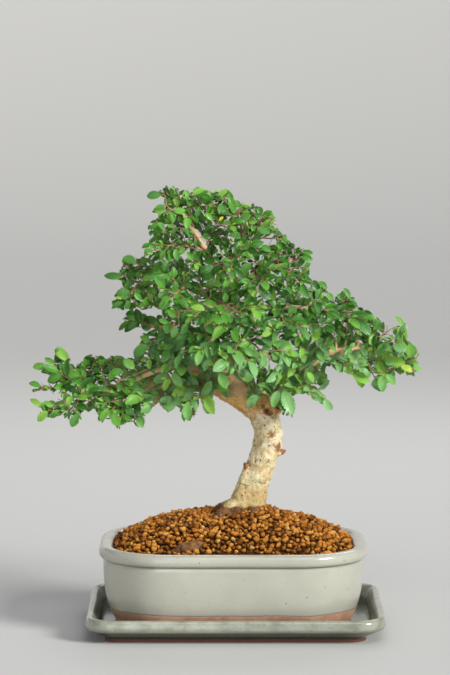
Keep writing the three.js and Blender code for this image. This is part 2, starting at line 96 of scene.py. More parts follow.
# Soil: a mound of grains
SOIL_EDGE = 79
MOUND_HEIGHT = 29.5
MOUND_HALF = [113, 83]
MOUND_POWER = 2.6
MOUND_ROUNDING = 0.9

# Wood, with every limb as stations of x, y, z and radius, from its root end to its tip
LIMBS = {
    "trunk": [
        [7, 2, 86, 13], [9, 1, 100, 18], [11, 0, 114, 17.4], [14, 0, 126, 15.2], [18, 0, 138, 13.8],
        [23.5, 0, 150, 12.9], [28, 0, 162, 12.8], [31, 0, 175, 13.2], [30, 0, 187, 12.8],
        [26.5, 0, 199, 13.2], [19, 0, 210, 13.6], [6, 0, 219.5, 13.2], [-8, 0, 227, 12.4],
        [-20, 1, 233, 11],
    ],
    "leader": [
        [-14, 0, 230, 10], [-28, 4, 245, 8.6], [-33, 8, 264, 7.4], [-26, 8, 282, 6.4], [-15, 5, 298, 5.5],
        [-9, 2, 314, 4.7], [-11, 0, 331, 4], [-22, -3, 346, 3.3], [-32, -5, 362, 2.6],
        [-42, -5, 376, 1.9], [-50, -4, 384, 1.3],
    ],
    "low_left": [
        [-14, 0, 229, 8.5], [-45, -4, 229, 6], [-80, -10, 227, 4.2], [-112, -14, 220, 3.1],
        [-134, -12, 221, 2.2], [-152, -14, 224, 1.4],
    ],
    "right_low": [
        [24, 1, 202, 8], [44, -3, 222, 5.8], [60, -6, 236, 5], [70, -8, 249, 4.4], [90, -10, 259, 3.6],
        [116, -8, 262, 2.6], [138, -6, 257, 1.5],
    ],
    "right_mid": [
        [-14, 4, 300, 4.4], [14, 0, 299, 3.5], [44, -4, 302, 2.8], [72, -6, 299, 2], [88, -5, 294, 1.4],
    ],
    "right_top": [
        [-9, 1, 320, 3.6], [16, 2, 330, 2.7], [38, 0, 339, 2], [54, -2, 343, 1.4],
    ],
    "apex_right": [
        [-13, -1, 336, 3.1], [3, -3, 353, 2.6], [6, -2, 367, 2.1], [13, -2, 377, 1.7], [22, -2, 382, 1.3],
    ],
    "left_mid": [
        [-12, 3, 304, 4.4], [-42, 2, 320, 3.2], [-68, 0, 328, 2.3], [-86, -2, 331, 1.4],
    ],
    "left_under": [
        [-32, 8, 262, 4.4], [-50, 5, 272, 3.2], [-68, 2, 280, 2.2], [-82, 0, 285, 1.4],
    ],
    "front": [
        [-28, 7, 277, 3.6], [-14, -22, 284, 2.8], [0, -44, 279, 2], [6, -58, 270, 1.4],
    ],
    "front_top": [
        [-14, 3, 300, 3], [-20, -22, 306, 2.2], [-23, -40, 302, 1.4],
    ],
    "back": [
        [-28, 9, 280, 3.6], [-20, 36, 290, 2.6], [-13, 58, 291, 1.4],
    ],
    "back_top": [
        [-9, 2, 318, 2.9], [4, 28, 324, 2.1], [11, 44, 325, 1.3],
    ],
}

# A limb that the photograph shows between the leaves above the low one
UPPER_LEFT_LIMB = [
    [-20, 2, 236, 5.6], [-36, -6, 243, 4.4], [-52, -13, 246, 3.4], [-68, -18, 245, 2.7],
    [-82, -21, 240, 2.2], [-97, -22, 233, 1.7], [-110, -20, 229, 1.2],
]

# Surface roots, as stations too
ROOTS = [
    [[6, -4, 118, 9], [-8, -15, 111, 6.4], [-20, -25, 102, 4.6], [-30, -32, 94, 3]],
    [[14, -4, 116, 9], [20, -20, 107, 6], [24, -32, 98, 4]],
    [[14, 0, 116, 9], [32, -6, 107, 6], [44, -10, 98, 4]],
    [[10, 4, 116, 9], [16, 22, 106, 6], [20, 34, 96, 4]],
    [[8, 3, 116, 9], [-12, 14, 108, 6], [-26, 22, 98, 4]],
    [
        [-26, -64, 86, 3.6], [-36, -71, 87.5, 4.8], [-48, -72, 86, 4.5], [-60, -64, 77, 3],
        [-40, -40, 80, 4], [0, -7, 100, 5],
    ],
]

# Stubs of pruned shoots: how far apart they stand along each limb, and their lengths and radii
STUB_SPACING = 19
STUB_LENGTHS = [4, 10]
STUB_RADII = [0.9, 1.5]

# Two torn snags and the stump behind the pruning scar
SNAGS = [
    [[34, -3, 163, 4.4], [42, -5, 165, 2.8], [47.5, -5, 166.5, 0.9]],
    [[16, -3, 148, 3.3], [11, -6, 150.5, 2.3], [9, -6.5, 155, 1.2]],
    [[30, 0, 196, 7], [41, -4, 207, 3.8]],
]

# Sprays: name, limb, share of the limb's length where the stem leaves it, and where its end leaf reaches to
SPRAYS = [
    ["low_left_tip", "low_left", 0.99, [-188, -16, 228]],
    ["low_left_rise", "low_left", 0.84, [-167, 10, 260]],
    ["low_left_fork", "low_left", 0.74, [-182, -48, 210]],
    ["low_left_twig", "low_left", 0.62, [-132, 16, 251]],
    ["low_left_drop", "low_left", 0.44, [-122, -58, 208]],
    ["low_left_under", "low_left", 0.26, [-84, -60, 210]],
    ["low_left_back", "low_left", 0.36, [-108, 62, 236]],
    ["low_left_crown", "low_left", 0.68, [-176, 36, 244]],
    ["right_low_tip", "right_low", 0.99, [172, -4, 250]],
    ["right_low_spur", "right_low", 0.3, [86, -44, 216]],
    ["right_low_drop", "right_low", 0.16, [47, -54, 215]],
    ["right_far_under", "right_low", 0.62, [108, -56, 249]],
    ["right_far_drop", "right_low", 0.84, [134, -40, 229]],
    ["right_far_up", "right_low", 0.74, [103, 10, 315]],
    ["right_far_top", "right_low", 0.92, [155, 12, 290]],
    ["right_low_back", "right_low", 0.5, [104, 66, 262]],
    ["right_low_front", "right_low", 0.54, [68, -70, 268]],
    ["right_mid_tip", "right_mid", 0.98, [124, -6, 299]],
    ["right_mid_front", "right_mid", 0.36, [50, -72, 288]],
    ["right_mid_under", "right_mid", 0.56, [78, -46, 274]],
    ["right_mid_back", "right_mid", 0.42, [60, 68, 296]],
    ["right_mid_up", "right_mid", 0.74, [84, 14, 333]],
    ["right_top_tip", "right_top", 0.98, [71, -4, 354]],
    ["right_top_drop", "right_top", 0.7, [70, -40, 322]],
    ["right_top_front", "right_top", 0.3, [30, -62, 330]],
    ["right_top_back", "right_top", 0.4, [46, 58, 338]],
    ["apex_right_tip", "apex_right", 0.98, [37, -4, 393]],
    ["apex_right_mid", "apex_right", 0.55, [-5, -6, 413]],
    ["apex_right_low", "apex_right", 0.38, [57, -26, 368]],
    ["apex_tip", "leader", 0.98, [-78, -6, 408]],
    ["apex_up", "leader", 0.86, [-46, -2, 415]],
    ["apex_shoulder", "leader", 0.74, [-80, -28, 363]],
    ["apex_shelf", "leader", 0.88, [-78, 22, 380]],
    ["apex_front", "leader", 0.66, [10, -54, 354]],
    ["apex_back", "leader", 0.76, [-14, 50, 380]],
    ["left_mid_tip", "left_mid", 0.98, [-120, -6, 332]],
    ["left_mid_rise", "left_mid", 0.66, [-104, 18, 348]],
    ["left_mid_drop", "left_mid", 0.76, [-110, -36, 308]],
    ["left_mid_inner", "left_mid", 0.46, [-44, -30, 344]],
    ["left_mid_front", "left_mid", 0.34, [-64, -66, 313]],
    ["left_mid_back", "left_mid", 0.4, [-76, 66, 327]],
    ["left_under_tip", "left_under", 0.98, [-104, -2, 288]],
    ["left_under_drop", "left_under", 0.5, [-90, -42, 264]],
    ["left_under_inner", "left_under", 0.28, [-52, -56, 246]],
    ["left_under_back", "left_under", 0.4, [-84, 66, 280]],
    ["front_tip", "front", 0.96, [14, -94, 256]],
    ["front_left", "front", 0.45, [-38, -80, 265]],
    ["front_right", "front", 0.62, [42, -80, 254]],
    ["front_top_tip", "front_top", 0.96, [-45, -78, 297]],
    ["front_top_right", "front_top", 0.6, [14, -78, 297]],
    ["back_tip", "back", 0.96, [-4, 96, 286]],
    ["back_left", "back", 0.45, [-54, 84, 290]],
    ["back_top_tip", "back_top", 0.96, [22, 80, 318]],
    ["fork_front", "leader", 0.06, [-36, -58, 217]],
]

# The crown's outline in the photograph's frame, clockwise from the tip at its upper left
CROWN_OUTLINE = [
    [147, 196], [160, 190], [172, 186], [180, 190], [190, 192], [197, 187], [204, 188], [211, 193],
    [222, 189], [229, 192], [237, 200], [246, 206], [257, 207], [264, 211], [273, 213], [277, 222],
    [266, 226], [272, 227], [282, 232], [288, 240], [293, 246], [302, 249], [312, 251], [312, 260],
    [306, 263], [309, 269], [304, 274], [310, 279], [320, 284], [326, 290], [333, 300], [339, 296],
    [344, 289], [351, 291], [355, 302], [358, 308], [366, 312], [376, 317], [382, 324], [381, 332],
    [379, 335], [388, 338], [395, 334], [394, 328], [399, 326], [396, 318], [403, 319], [406, 328],
    [406, 335], [410, 343], [416, 351], [422, 354], [417, 358], [418, 366], [417, 374], [406, 375],
    [399, 372], [391, 372], [395, 383], [389, 382], [386, 378], [385, 388], [382, 392], [377, 391],
    [375, 384], [379, 374], [378, 367], [371, 367], [368, 373], [367, 382], [361, 388], [356, 380],
    [356, 373], [347, 375], [342, 373], [337, 371], [336, 365], [325, 366], [329, 387], [326, 388],
    [316, 376], [314, 381], [317, 387], [322, 390], [323, 399], [332, 409], [324, 405], [318, 399],
    [311, 397], [304, 390], [300, 393], [296, 394], [290, 394], [293, 404], [292, 416], [285, 416],
    [279, 407], [271, 404], [268, 394], [259, 397], [259, 407], [250, 406], [247, 399], [247, 388],
    [241, 378], [235, 373], [229, 374], [227, 396], [222, 391], [217, 384], [211, 398], [216, 416],
    [209, 414], [203, 400], [197, 398], [195, 416], [187, 421], [181, 414], [180, 402], [172, 403],
    [170, 411], [165, 411], [160, 404], [153, 408], [146, 414], [143, 418], [144, 427], [137, 426],
    [131, 421], [121, 420], [120, 428], [114, 427], [109, 414], [105, 421], [98, 421], [97, 409],
    [90, 410], [85, 413], [79, 412], [80, 420], [74, 427], [70, 420], [66, 417], [62, 414], [55, 418],
    [48, 416], [40, 421], [37, 418], [41, 409], [31, 402], [31, 400], [39, 400], [45, 402], [55, 403],
    [62, 405], [62, 393], [48, 390], [33, 392], [40, 387], [30, 384], [36, 381], [43, 386], [58, 387],
    [60, 383], [49, 381], [50, 376], [40, 371], [35, 368], [37, 363], [46, 361], [50, 357], [57, 360],
    [55, 349], [60, 347], [67, 353], [71, 364], [79, 366], [84, 360], [92, 355], [102, 357], [106, 360],
    [112, 356], [121, 357], [124, 363], [131, 357], [136, 359], [134, 354], [141, 344], [142, 334],
    [152, 333], [154, 328], [147, 327], [139, 326], [132, 331], [118, 330], [122, 323], [126, 316],
    [131, 312], [138, 313], [144, 317], [152, 315], [161, 317], [163, 312], [158, 309], [150, 308],
    [142, 309], [137, 306], [133, 309], [125, 309], [111, 306], [115, 299], [115, 292], [123, 286],
    [122, 280], [105, 279], [105, 275], [120, 273], [122, 263], [124, 256], [132, 255], [139, 259],
    [147, 253], [142, 247], [151, 241], [149, 231], [150, 223], [160, 217], [161, 213], [153, 212],
    [155, 206], [165, 205], [164, 201], [168, 197], [160, 194],
]
# Holes in the crown through which the backdrop shows, and places where no leaf hangs before the wood
CROWN_GAPS = [
    [[260, 236], [270, 235], [278, 239], [275, 245], [262, 244]],
    [[182, 249], [192, 248], [193, 253], [187, 259], [182, 259]],
    [[301, 281], [308, 281], [312, 289], [307, 292], [302, 288]],
    [[252, 342], [261, 344], [266, 350], [258, 350]],
    [[260, 357], [269, 355], [279, 365], [275, 371], [264, 368]],
    [[184, 363], [192, 362], [201, 370], [201, 377], [191, 372], [184, 368]],
    [[188, 225], [193, 225], [206, 239], [210, 258], [206, 258], [199, 240]],
]
# Leaves read off the photograph and leaves that cover a limb as there: pixels of root and tip, and tone
CHOSEN_LEAVES = [
    [283, 389, 289, 415, 0.55], [163, 195, 148, 196, 0.45], [168, 209, 155, 211, 0.75],
    [160, 223, 151, 228, 0.5], [154, 244, 143, 247, 0.4], [166, 248, 161, 259, 0.75],
    [176, 247, 176, 260, 0.6], [194, 262, 188, 253, 0.6], [138, 264, 125, 257, 0.6],
    [139, 265, 147, 259, 0.45], [124, 276, 105, 277, 0.6], [132, 291, 117, 293, 0.5],
    [127, 297, 117, 297, 0.93], [217, 196, 226, 190, 0.8], [191, 195, 203, 189, 0.78],
    [214, 222, 207, 214, 0.75], [218, 222, 222, 218, 1], [216, 232, 216, 245, 0.45],
    [267, 217, 274, 217, 0.7], [272, 234, 260, 229, 0.6], [277, 231, 270, 227, 0.5],
    [281, 233, 286, 238, 0.5], [272, 252, 263, 246, 0.5], [271, 252, 257, 254, 0.55],
    [255, 260, 244, 253, 0.7], [253, 263, 241, 273, 0.65], [302, 252, 312, 253, 0.5],
    [300, 257, 312, 259, 0.45], [303, 269, 309, 264, 0.5], [316, 281, 326, 287, 0.5],
    [311, 283, 320, 292, 0.4], [325, 291, 332, 299, 0.6], [125, 301, 112, 306, 0.6],
    [131, 299, 126, 308, 0.5], [147, 297, 141, 307, 0.85], [154, 292, 154, 303, 0.5],
    [171, 295, 162, 303, 0.55], [142, 320, 127, 315, 0.7], [132, 322, 119, 328, 0.5],
    [139, 322, 129, 328, 0.55], [158, 319, 147, 318, 0.5], [151, 342, 141, 337, 0.5],
    [150, 345, 134, 354, 0.5], [148, 352, 133, 360, 0.45], [136, 370, 125, 360, 0.65],
    [125, 370, 112, 374, 0.5], [207, 311, 193, 306, 0.85], [212, 379, 203, 397, 0.5],
    [219, 371, 226, 388, 0.45], [189, 399, 187, 420, 0.55], [204, 397, 214, 415, 0.85],
    [200, 374, 190, 377, 0.97], [169, 404, 168, 411, 0.4], [152, 405, 141, 413, 0.5],
    [135, 418, 142, 426, 0.55], [113, 411, 118, 426, 0.65], [109, 408, 100, 420, 0.75],
    [78, 412, 72, 426, 0.6], [72, 411, 65, 417, 0.6], [62, 409, 51, 417, 0.65], [49, 410, 38, 421, 0.8],
    [54, 408, 45, 402, 0.7], [42, 406, 31, 400, 0.85], [42, 387, 30, 383, 0.5], [62, 373, 49, 381, 0.55],
    [60, 372, 44, 367, 0.5], [48, 367, 34, 367, 0.65], [56, 364, 46, 359, 0.65], [68, 362, 57, 348, 0.8],
    [279, 389, 273, 407, 0.5], [258, 393, 249, 407, 0.35], [316, 371, 329, 388, 0.55],
    [306, 371, 314, 381, 0.8], [323, 398, 332, 409, 0.6], [361, 369, 361, 387, 0.78],
    [382, 374, 381, 392, 0.5], [384, 373, 395, 383, 0.5], [399, 366, 413, 370, 0.95],
    [404, 327, 397, 317, 0.75], [351, 300, 345, 289, 0.65], [343, 301, 338, 295, 0.6],
    [373, 331, 380, 321, 0.5], [362, 318, 376, 318, 0.5], [403, 352, 415, 353, 0.93],
    [152, 321, 143, 328, 0.5], [160, 319, 151, 325, 0.6], [160, 328, 151, 333, 0.5],
    [170, 323, 160, 320, 0.5], [168, 330, 158, 335, 0.55], [166, 338, 156, 343, 0.45],
    [178, 318, 169, 311, 0.55], [179, 326, 172, 337, 0.6], [180, 336, 171, 345, 0.5],
    [188, 322, 182, 333, 0.5], [176, 345, 164, 349, 0.5], [150, 306, 142, 300, 0.5],
    [158, 300, 150, 307, 0.5], [166, 300, 160, 308, 0.45], [122, 296, 128, 288, 0.5],
    [134, 290, 140, 299, 0.55], [352, 347, 344, 358, 0.5], [340, 351, 331, 361, 0.45],
    [361, 346, 367, 357, 0.5], [347, 352, 355, 360, 0.4], [333, 356, 326, 366, 0.5],
    [356, 342, 349, 349, 0.55], [300, 346, 306, 362, 0.75], [338, 348, 352, 342, 0.45],
    [262, 352, 266, 366, 0.5], [245, 345, 252, 361, 0.5],
]
# Bare twigs in the photograph: their pixels from root to tip, and their radius
BARE_TWIGS = [
    [[104, 383], [113, 371], [121, 357], 0.6],
    [[64, 390], [48, 388], [40, 389], [33, 392], 0.45],
    [[194, 248], [184, 246], [175, 245], 0.8],
    [[233, 228], [225, 227], [216, 222], 0.8],
    [[300, 274], [308, 270], 0.7],
    [[262, 220], [277, 225], 0.7],
    [[118, 381], [132, 376], [149, 369], 0.8],
    [[300, 386], [312, 394], [324, 400], 0.5],
]

# Where a spray's flat side faces, and how its stem runs, as in the CAD part
CROWN_MIDDLE_Y = 6
FACE_STRAY = 0.4
FACE_OUTWARD = [0.5, 1]
FACE_UPWARD = 0.65
STEM_SAG = 0.07
STEM_STRAY = 0.06
END_LEAF_REACH = 14.9


def chance(seed):
    """The same number from 0 to 1 for the same seed, as in the CAD part."""
    wave = math.sin(seed * 127.1 + 311.7) * 43758.5453
    return wave - math.floor(wave)


def swing(seed):
    return 2 * chance(seed) - 1


def lerp(ends, share):
    return ends[0] + (ends[1] - ends[0]) * share


def smooth_step(low, high, value):
    share = np.clip((np.asarray(value, float) - low) / (high - low), 0, 1)
    return share * share * (3 - 2 * share)


def unit(v):
    return v / np.linalg.norm(v)


class Path:
    """A centripetal Catmull-Rom curve through points, the curve that the CAD part's limbs follow."""

    def __init__(self, points):
        points = np.array([p[:3] for p in points], float)
        self.spans = len(points) - 1
        self.knots = np.vstack([2 * points[0] - points[1], points, 2 * points[-1] - points[-2]])

    def at(self, share):
        along = min(max(share, 0), 1) * self.spans
        i = min(int(along), self.spans - 1)
        w = along - i
        p0, p1, p2, p3 = self.knots[i : i + 4]
        d0, d1, d2 = (np.linalg.norm(b - a) ** 0.5 for a, b in ((p0, p1), (p1, p2), (p2, p3)))
        t1 = ((p1 - p0) / d0 - (p2 - p0) / (d0 + d1) + (p2 - p1) / d1) * d1
        t2 = ((p2 - p1) / d1 - (p3 - p1) / (d1 + d2) + (p3 - p2) / d2) * d1
        return p1 + w * (t1 + w * ((-3 * p1 + 3 * p2 - 2 * t1 - t2) + w * (2 * p1 - 2 * p2 + t1 + t2)))

    def points(self, count):
        return np.array([self.at(i / (count - 1)) for i in range(count)])


class Body:
    """The points, faces, kinds of face and per-point values of a mesh that is being put together."""

    def __init__(self):
        self.points, self.faces, self.kinds, self.values = [], [], [], []
        self.count = 0

    def add(self, points, faces, kind=0, values=(0, 0, 0)):
        """kind is a material index, or one for each face, and values a triple, or one for each point."""
        base = self.count
        self.points.append(np.asarray(points, float))
        self.faces.extend([base + k for k in face] for face in faces)
        self.kinds.extend(kind if hasattr(kind, "__len__") else [kind] * len(faces))
        self.values.append(np.broadcast_to(np.asarray(values, float), (len(points), 3)))
        self.count += len(points)

    def add_tube(self, rings, kind=0, values=(0, 0, 0)):
        """A closed skin through rings of as many points each."""
        sides = len(rings[0])
        faces = []
        for ring in range(len(rings) - 1):
            for side in range(sides):
                a, b = ring * sides + side, ring * sides + (side + 1) % sides
                faces.append((a, b, b + sides, a + sides))
        last = (len(rings) - 1) * sides
        faces.append(tuple(range(sides))[::-1])
        faces.append(tuple(range(last, last + sides)))
        self.add(np.vstack(rings), faces, kind, values)

    def mesh(self, name):
        made = bpy.data.meshes.new(name)
        made.from_pydata(np.vstack(self.points) * MM, [], self.faces)
        smooth(made)
        made.polygons.foreach_set("material_index", self.kinds)
        put_values(made, np.vstack(self.values))
        return made


def put_values(mesh, values):
    """Three values for each point, which the piece's materials read by the name detail."""
    kept = mesh.attributes.get("detail") or mesh.attributes.new("detail", "FLOAT_VECTOR", "POINT")
    kept.data.foreach_set("vector", np.asarray(values, np.float32).ravel())


def new_object(name, data):
    made = bpy.data.objects.new(name, data)
    bpy.context.scene.collection.objects.link(made)
    return made


def smooth(mesh):
    mesh.polygons.foreach_set("use_smooth", [True] * len(mesh.polygons))


def show(mesh, name, materials, replaced=()):
    """Shows a piece of the look in its slot, in place of the nodes it replaces."""
    made = new_object(name, mesh)
    for material in materials:
        mesh.materials.append(material)
    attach(made, "root")
    if replaced:
        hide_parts(*replaced)
    return made


def tube_rings(centres, radii, sides, flat_to=(0, 1, 0), ripple=None):
    """Rings square to a line, which a ripple makes uneven by angle and place."""
    centres = np.asarray(centres, float)
    across = np.array(flat_to, float)
    angles = (np.arange(sides) + 0.5) / sides * 2 * np.pi
    rings = []
    for i, at in enumerate(centres):
        tangent = unit(centres[min(i + 1, len(centres) - 1)] - centres[max(i - 1, 0)])
        across = unit(across - tangent * (across @ tangent))
        up = np.cross(tangent, across)
        radius = radii[i] * (ripple(angles, at) if ripple else np.ones(sides))
        rings.append(at + np.outer(radius * np.cos(angles), across) + np.outer(radius * np.sin(angles), up))
    return rings


def with_modifier(mesh, kind, **settings):
    """The mesh as a modifier with these settings leaves it."""
    holder = new_object("holder", mesh)
    modifier = holder.modifiers.new(kind.lower(), kind)
    for key, value in settings.items():
        setattr(modifier, key, value)
    view = bpy.context.evaluated_depsgraph_get()
    made = bpy.data.meshes.new_from_object(holder.evaluated_get(view))
    bpy.data.objects.remove(holder)
    return made


def rows_of(items, key, kind, width):
    """What each item of a mesh holds under a key, one row for each."""
    values = np.empty(len(items) * width, kind)
    items.foreach_get(key, values)
    return values.reshape(-1, width)


def read_points(mesh):
    """The points of a mesh, in metres."""
    return rows_of(mesh.vertices, "co", np.float32, 3).astype(float)


def read_skin(mesh):
    """The points of a mesh, in millimetres, and its normals there."""
    return read_points(mesh) / MM, rows_of(mesh.vertex_normals, "vector", np.float32, 3).astype(float)


def edge_ends(mesh):
    return rows_of(mesh.edges, "vertices", np.int32, 2)


def write_points(mesh, points):
    mesh.vertices.foreach_set("co", np.asarray(points, np.float32).ravel())
    mesh.update()


def noise_at(points, size, shift=0.0):
    """Smooth noise from about -1 to 1 at each point, with lumps of about a size in the points' own unit."""
    return np.array([noise.noise(Vector(p)) for p in points / size + shift])


def seen(points):
    """Where points show in the photograph's frame, in pixels."""
    away = np.atleast_2d(points) * MM - CAMERA_AT
    depth = away[:, 1] * math.cos(TILT) - away[:, 2] * math.sin(TILT)
    rise = away[:, 1] * math.sin(TILT) + away[:, 2] * math.cos(TILT)
    return np.stack([FRAME[0] / 2 + FOCUS * away[:, 0] / depth, FRAME[1] / 2 - FOCUS * rise / depth], axis=1)


def behind_pixel(spot, y):
    """The point at a depth that shows at a pixel of the frame."""
    right, up = (spot[0] - FRAME[0] / 2) / FOCUS, (FRAME[1] / 2 - spot[1]) / FOCUS
    ray = np.array([right, math.cos(TILT) + up * math.sin(TILT), up * math.cos(TILT) - math.sin(TILT)])
    return (np.array(CAMERA_AT) + ray * (y * MM - CAMERA_AT[1]) / ray[1]) / MM


def filled(outline):
    """Which pixels of the frame lie inside an outline."""
    x, y = np.meshgrid(np.arange(FRAME[0]) + 0.5, np.arange(FRAME[1]) + 0.5)
    inside = np.zeros(x.shape, bool)
    for (ax, ay), (bx, by) in zip(outline, outline[1:] + outline[:1]):
        if ay == by:
            continue
        crosses = (y > min(ay, by)) & (y <= max(ay, by))
        inside ^= crosses & (x < ax + (y - ay) * (bx - ax) / (by - ay))
    return inside


# Wood: the limbs, roots and snags grown into one skin, then given bark relief

WOOD_SEED = 5
VOXEL = 0.6
WOOD_KEPT = 0.36
SMOOTHING = [0.5, -0.53] * 4
TRUNK_FOOT = [135, 35]
TRUNK_FLUTING = [0.05, 0.13]
TRUNK_RIPPLE = 0.03
COLLAR = 0.4
SIDES = {"trunk": 36, "leader": 24}
OTHER_SIDES = 14
# Knots and scars, each by x, y, z, its radius, how far it stands out and how dark it is; the dark is dead
# wood, and in the hollows under the right limb partly painted shade
KNOTS = [
    [30, -13, 205, 4.2, -1.2, 1.25], [34, -12, 203, 3.6, -1, 1.2], [27, -13, 210, 2.8, -0.8, 1.1],
    [36, -11, 210, 3.6, -1.2, 1], [39, -9, 203, 3.2, -1.4, 1], [41, -8, 208, 4.6, -1, 1.2],
    [33, -13, 206, 2.6, 0.7, 0.7], [34, -11, 199, 4, 0.9, 0.5], [33, -11, 183, 5.4, -0.5, 0.72],
    [28, -13, 181, 3, 0.4, 0.3], [40, -8, 170, 6, 0.5, 0.86], [46, -5, 166, 6, 0, 0.8],
    [24, -12, 176, 2, 0.4, 0.3], [20, -11, 158, 3, -0.4, 0.46], [31, -12, 158, 3.4, 0.3, 0.4],
    [9, -6, 154, 5.6, 0, 0.95], [23, -12, 147, 2.2, 0.4, 0.35], [17, -13, 126, 4, -0.4, 0.46],
    [4, -12, 219, 3.4, 0.7, 0.5], [14, -12, 214, 2.4, -0.5, 0.6], [-20, -10, 235, 4, 0.6, 0.4],
    [22, 12, 192, 4, 0.8, 0.5], [37, 9, 166, 3, -0.6, 0.6], [14, 14, 134, 3.4, 0.7, 0.4],
]
# Height above which the pale lower bark turns orange-tan, and below which it is brown and stained by the soil
TAN_FROM = [188, 216]
STAINED_BELOW = [119.5, 112]
# The fuller underside of the trunk's bend: the heights where it starts, is full, fades and ends, and its side
UNDERSIDE = [186, 198, 224, 236]
UNDERSIDE_WAY = [-0.6, 0, -0.8]
UNDERSIDE_RISE = 1.7
# The crease round the lower trunk: its height, tilt and waves, and how wide and deep it is
CREASE_AT = 136.5
CREASE_TILT = 0.12
CREASE_WAVES = [1.2, 0.4]
CREASE_SIZE = [0.8, 0.55]
TRUNK_X = 18
TRUNK_RADIUS = 13
COLLAR_REACH = 2.2
# How limbs wander off their smooth path, and from how far on
WANDER_SIZE = 0.07
WANDER_FROM = 12
WANDER_MOST = 1.1
STUB_TAPER = [1.5, 1.2, 1, 1, 1, 0.9, 0.6]


def crease_height(points):
    """Height of the crease round the lower trunk, less the height of each point."""
    waves = CREASE_WAVES[0] * np.sin(points[:, 0] * CREASE_WAVES[1])
    return CREASE_AT + CREASE_TILT * (points[:, 0] - TRUNK_X) + waves - points[:, 2]


def trunk_ripple(angles, at):
    near_foot = min(max((TRUNK_FOOT[0] - at[2]) / TRUNK_FOOT[1], 0), 1)
    fluting = lerp(TRUNK_FLUTING, near_foot)
    return 1 + fluting * np.cos(3 * angles + 0.05 * at[2]) + TRUNK_RIPPLE * np.cos(5 * angles + 0.11 * at[2])


def limb_knobs(angles, at):
    return 1 + 0.1 * noise.noise(Vector(at) * 0.16) + 0.04 * np.cos(2 * angles + at[2])


def limb_run(stations, step=2.2):
    """Close centres and radii along a limb."""
    count = 2 + int(sum(math.dist(a[:3], b[:3]) for a, b in zip(stations, stations[1:])) / step)
    centres = Path(stations).points(count)
    along = np.linspace(0, len(stations) - 1, count)
    radii = np.interp(along, range(len(stations)), [s[3] for s in stations])
    return centres, radii


def walked_along(centres):
    """The way gone at each point of a line, from its first."""
    return np.concatenate([[0], np.cumsum(np.linalg.norm(np.diff(centres, axis=0), axis=1))])


def limb_rings(name, stations):
    centres, radii = limb_run(stations)
    if name == "trunk":
        return tube_rings(centres, radii, SIDES[name], ripple=trunk_ripple)
    walked = walked_along(centres)
    radii = radii * (1 + COLLAR * np.exp(-((walked / (COLLAR_REACH * radii[0])) ** 2)))
    bend = np.array([noise.noise_vector(Vector(p) * WANDER_SIZE) for p in centres])
    free = np.minimum(1, walked / WANDER_FROM)[:, None]
    centres = centres + bend * free * np.minimum(WANDER_MOST, 0.4 * radii)[:, None]
    return tube_rings(centres, radii, SIDES.get(name, OTHER_SIDES), ripple=limb_knobs)


def root_rings(stations):
    return tube_rings(*limb_run(stations), OTHER_SIDES)


def stub_rings(rng, stations):
    """Short bare stubs where shoots were pruned off a limb."""
    centres, radii = limb_run(stations, STUB_SPACING)
    for k in range(1, len(centres) - 1):
        at = (centres[k] + centres[k + 1]) / 2
        tangent = unit(centres[k + 1] - centres[k])
        side = rng.normal(0, 1, 3) - [0, 0.6, -0.3]
        side = unit(side - tangent * (side @ tangent))
        way = unit(side + tangent * rng.uniform(0.1, 0.9))
        reach = radii[k] + rng.uniform(*STUB_LENGTHS)
        width = rng.uniform(*STUB_RADII)
        bent = at + way * reach * 0.55 + rng.normal(0, 0.5, 3)
        points = Path([at, bent, at + way * reach]).points(len(STUB_TAPER))
        yield tube_rings(points, [width * share for share in STUB_TAPER], 8)


def evened(mesh, passes):
    """Takes the steps out of a remeshed skin without thinning its limbs."""
    points = read_points(mesh)
    a, b = edge_ends(mesh).T
    links = np.bincount(np.concatenate([a, b]), minlength=len(points))[:, None]
    for strength in passes:
        mean = np.empty_like(points)
        for k in range(3):
            mean[:, k] = np.bincount(a, points[b, k], len(points)) + np.bincount(b, points[a, k], len(points))
        points = points + strength * (mean / np.maximum(links, 1) - points)
    write_points(mesh, points)


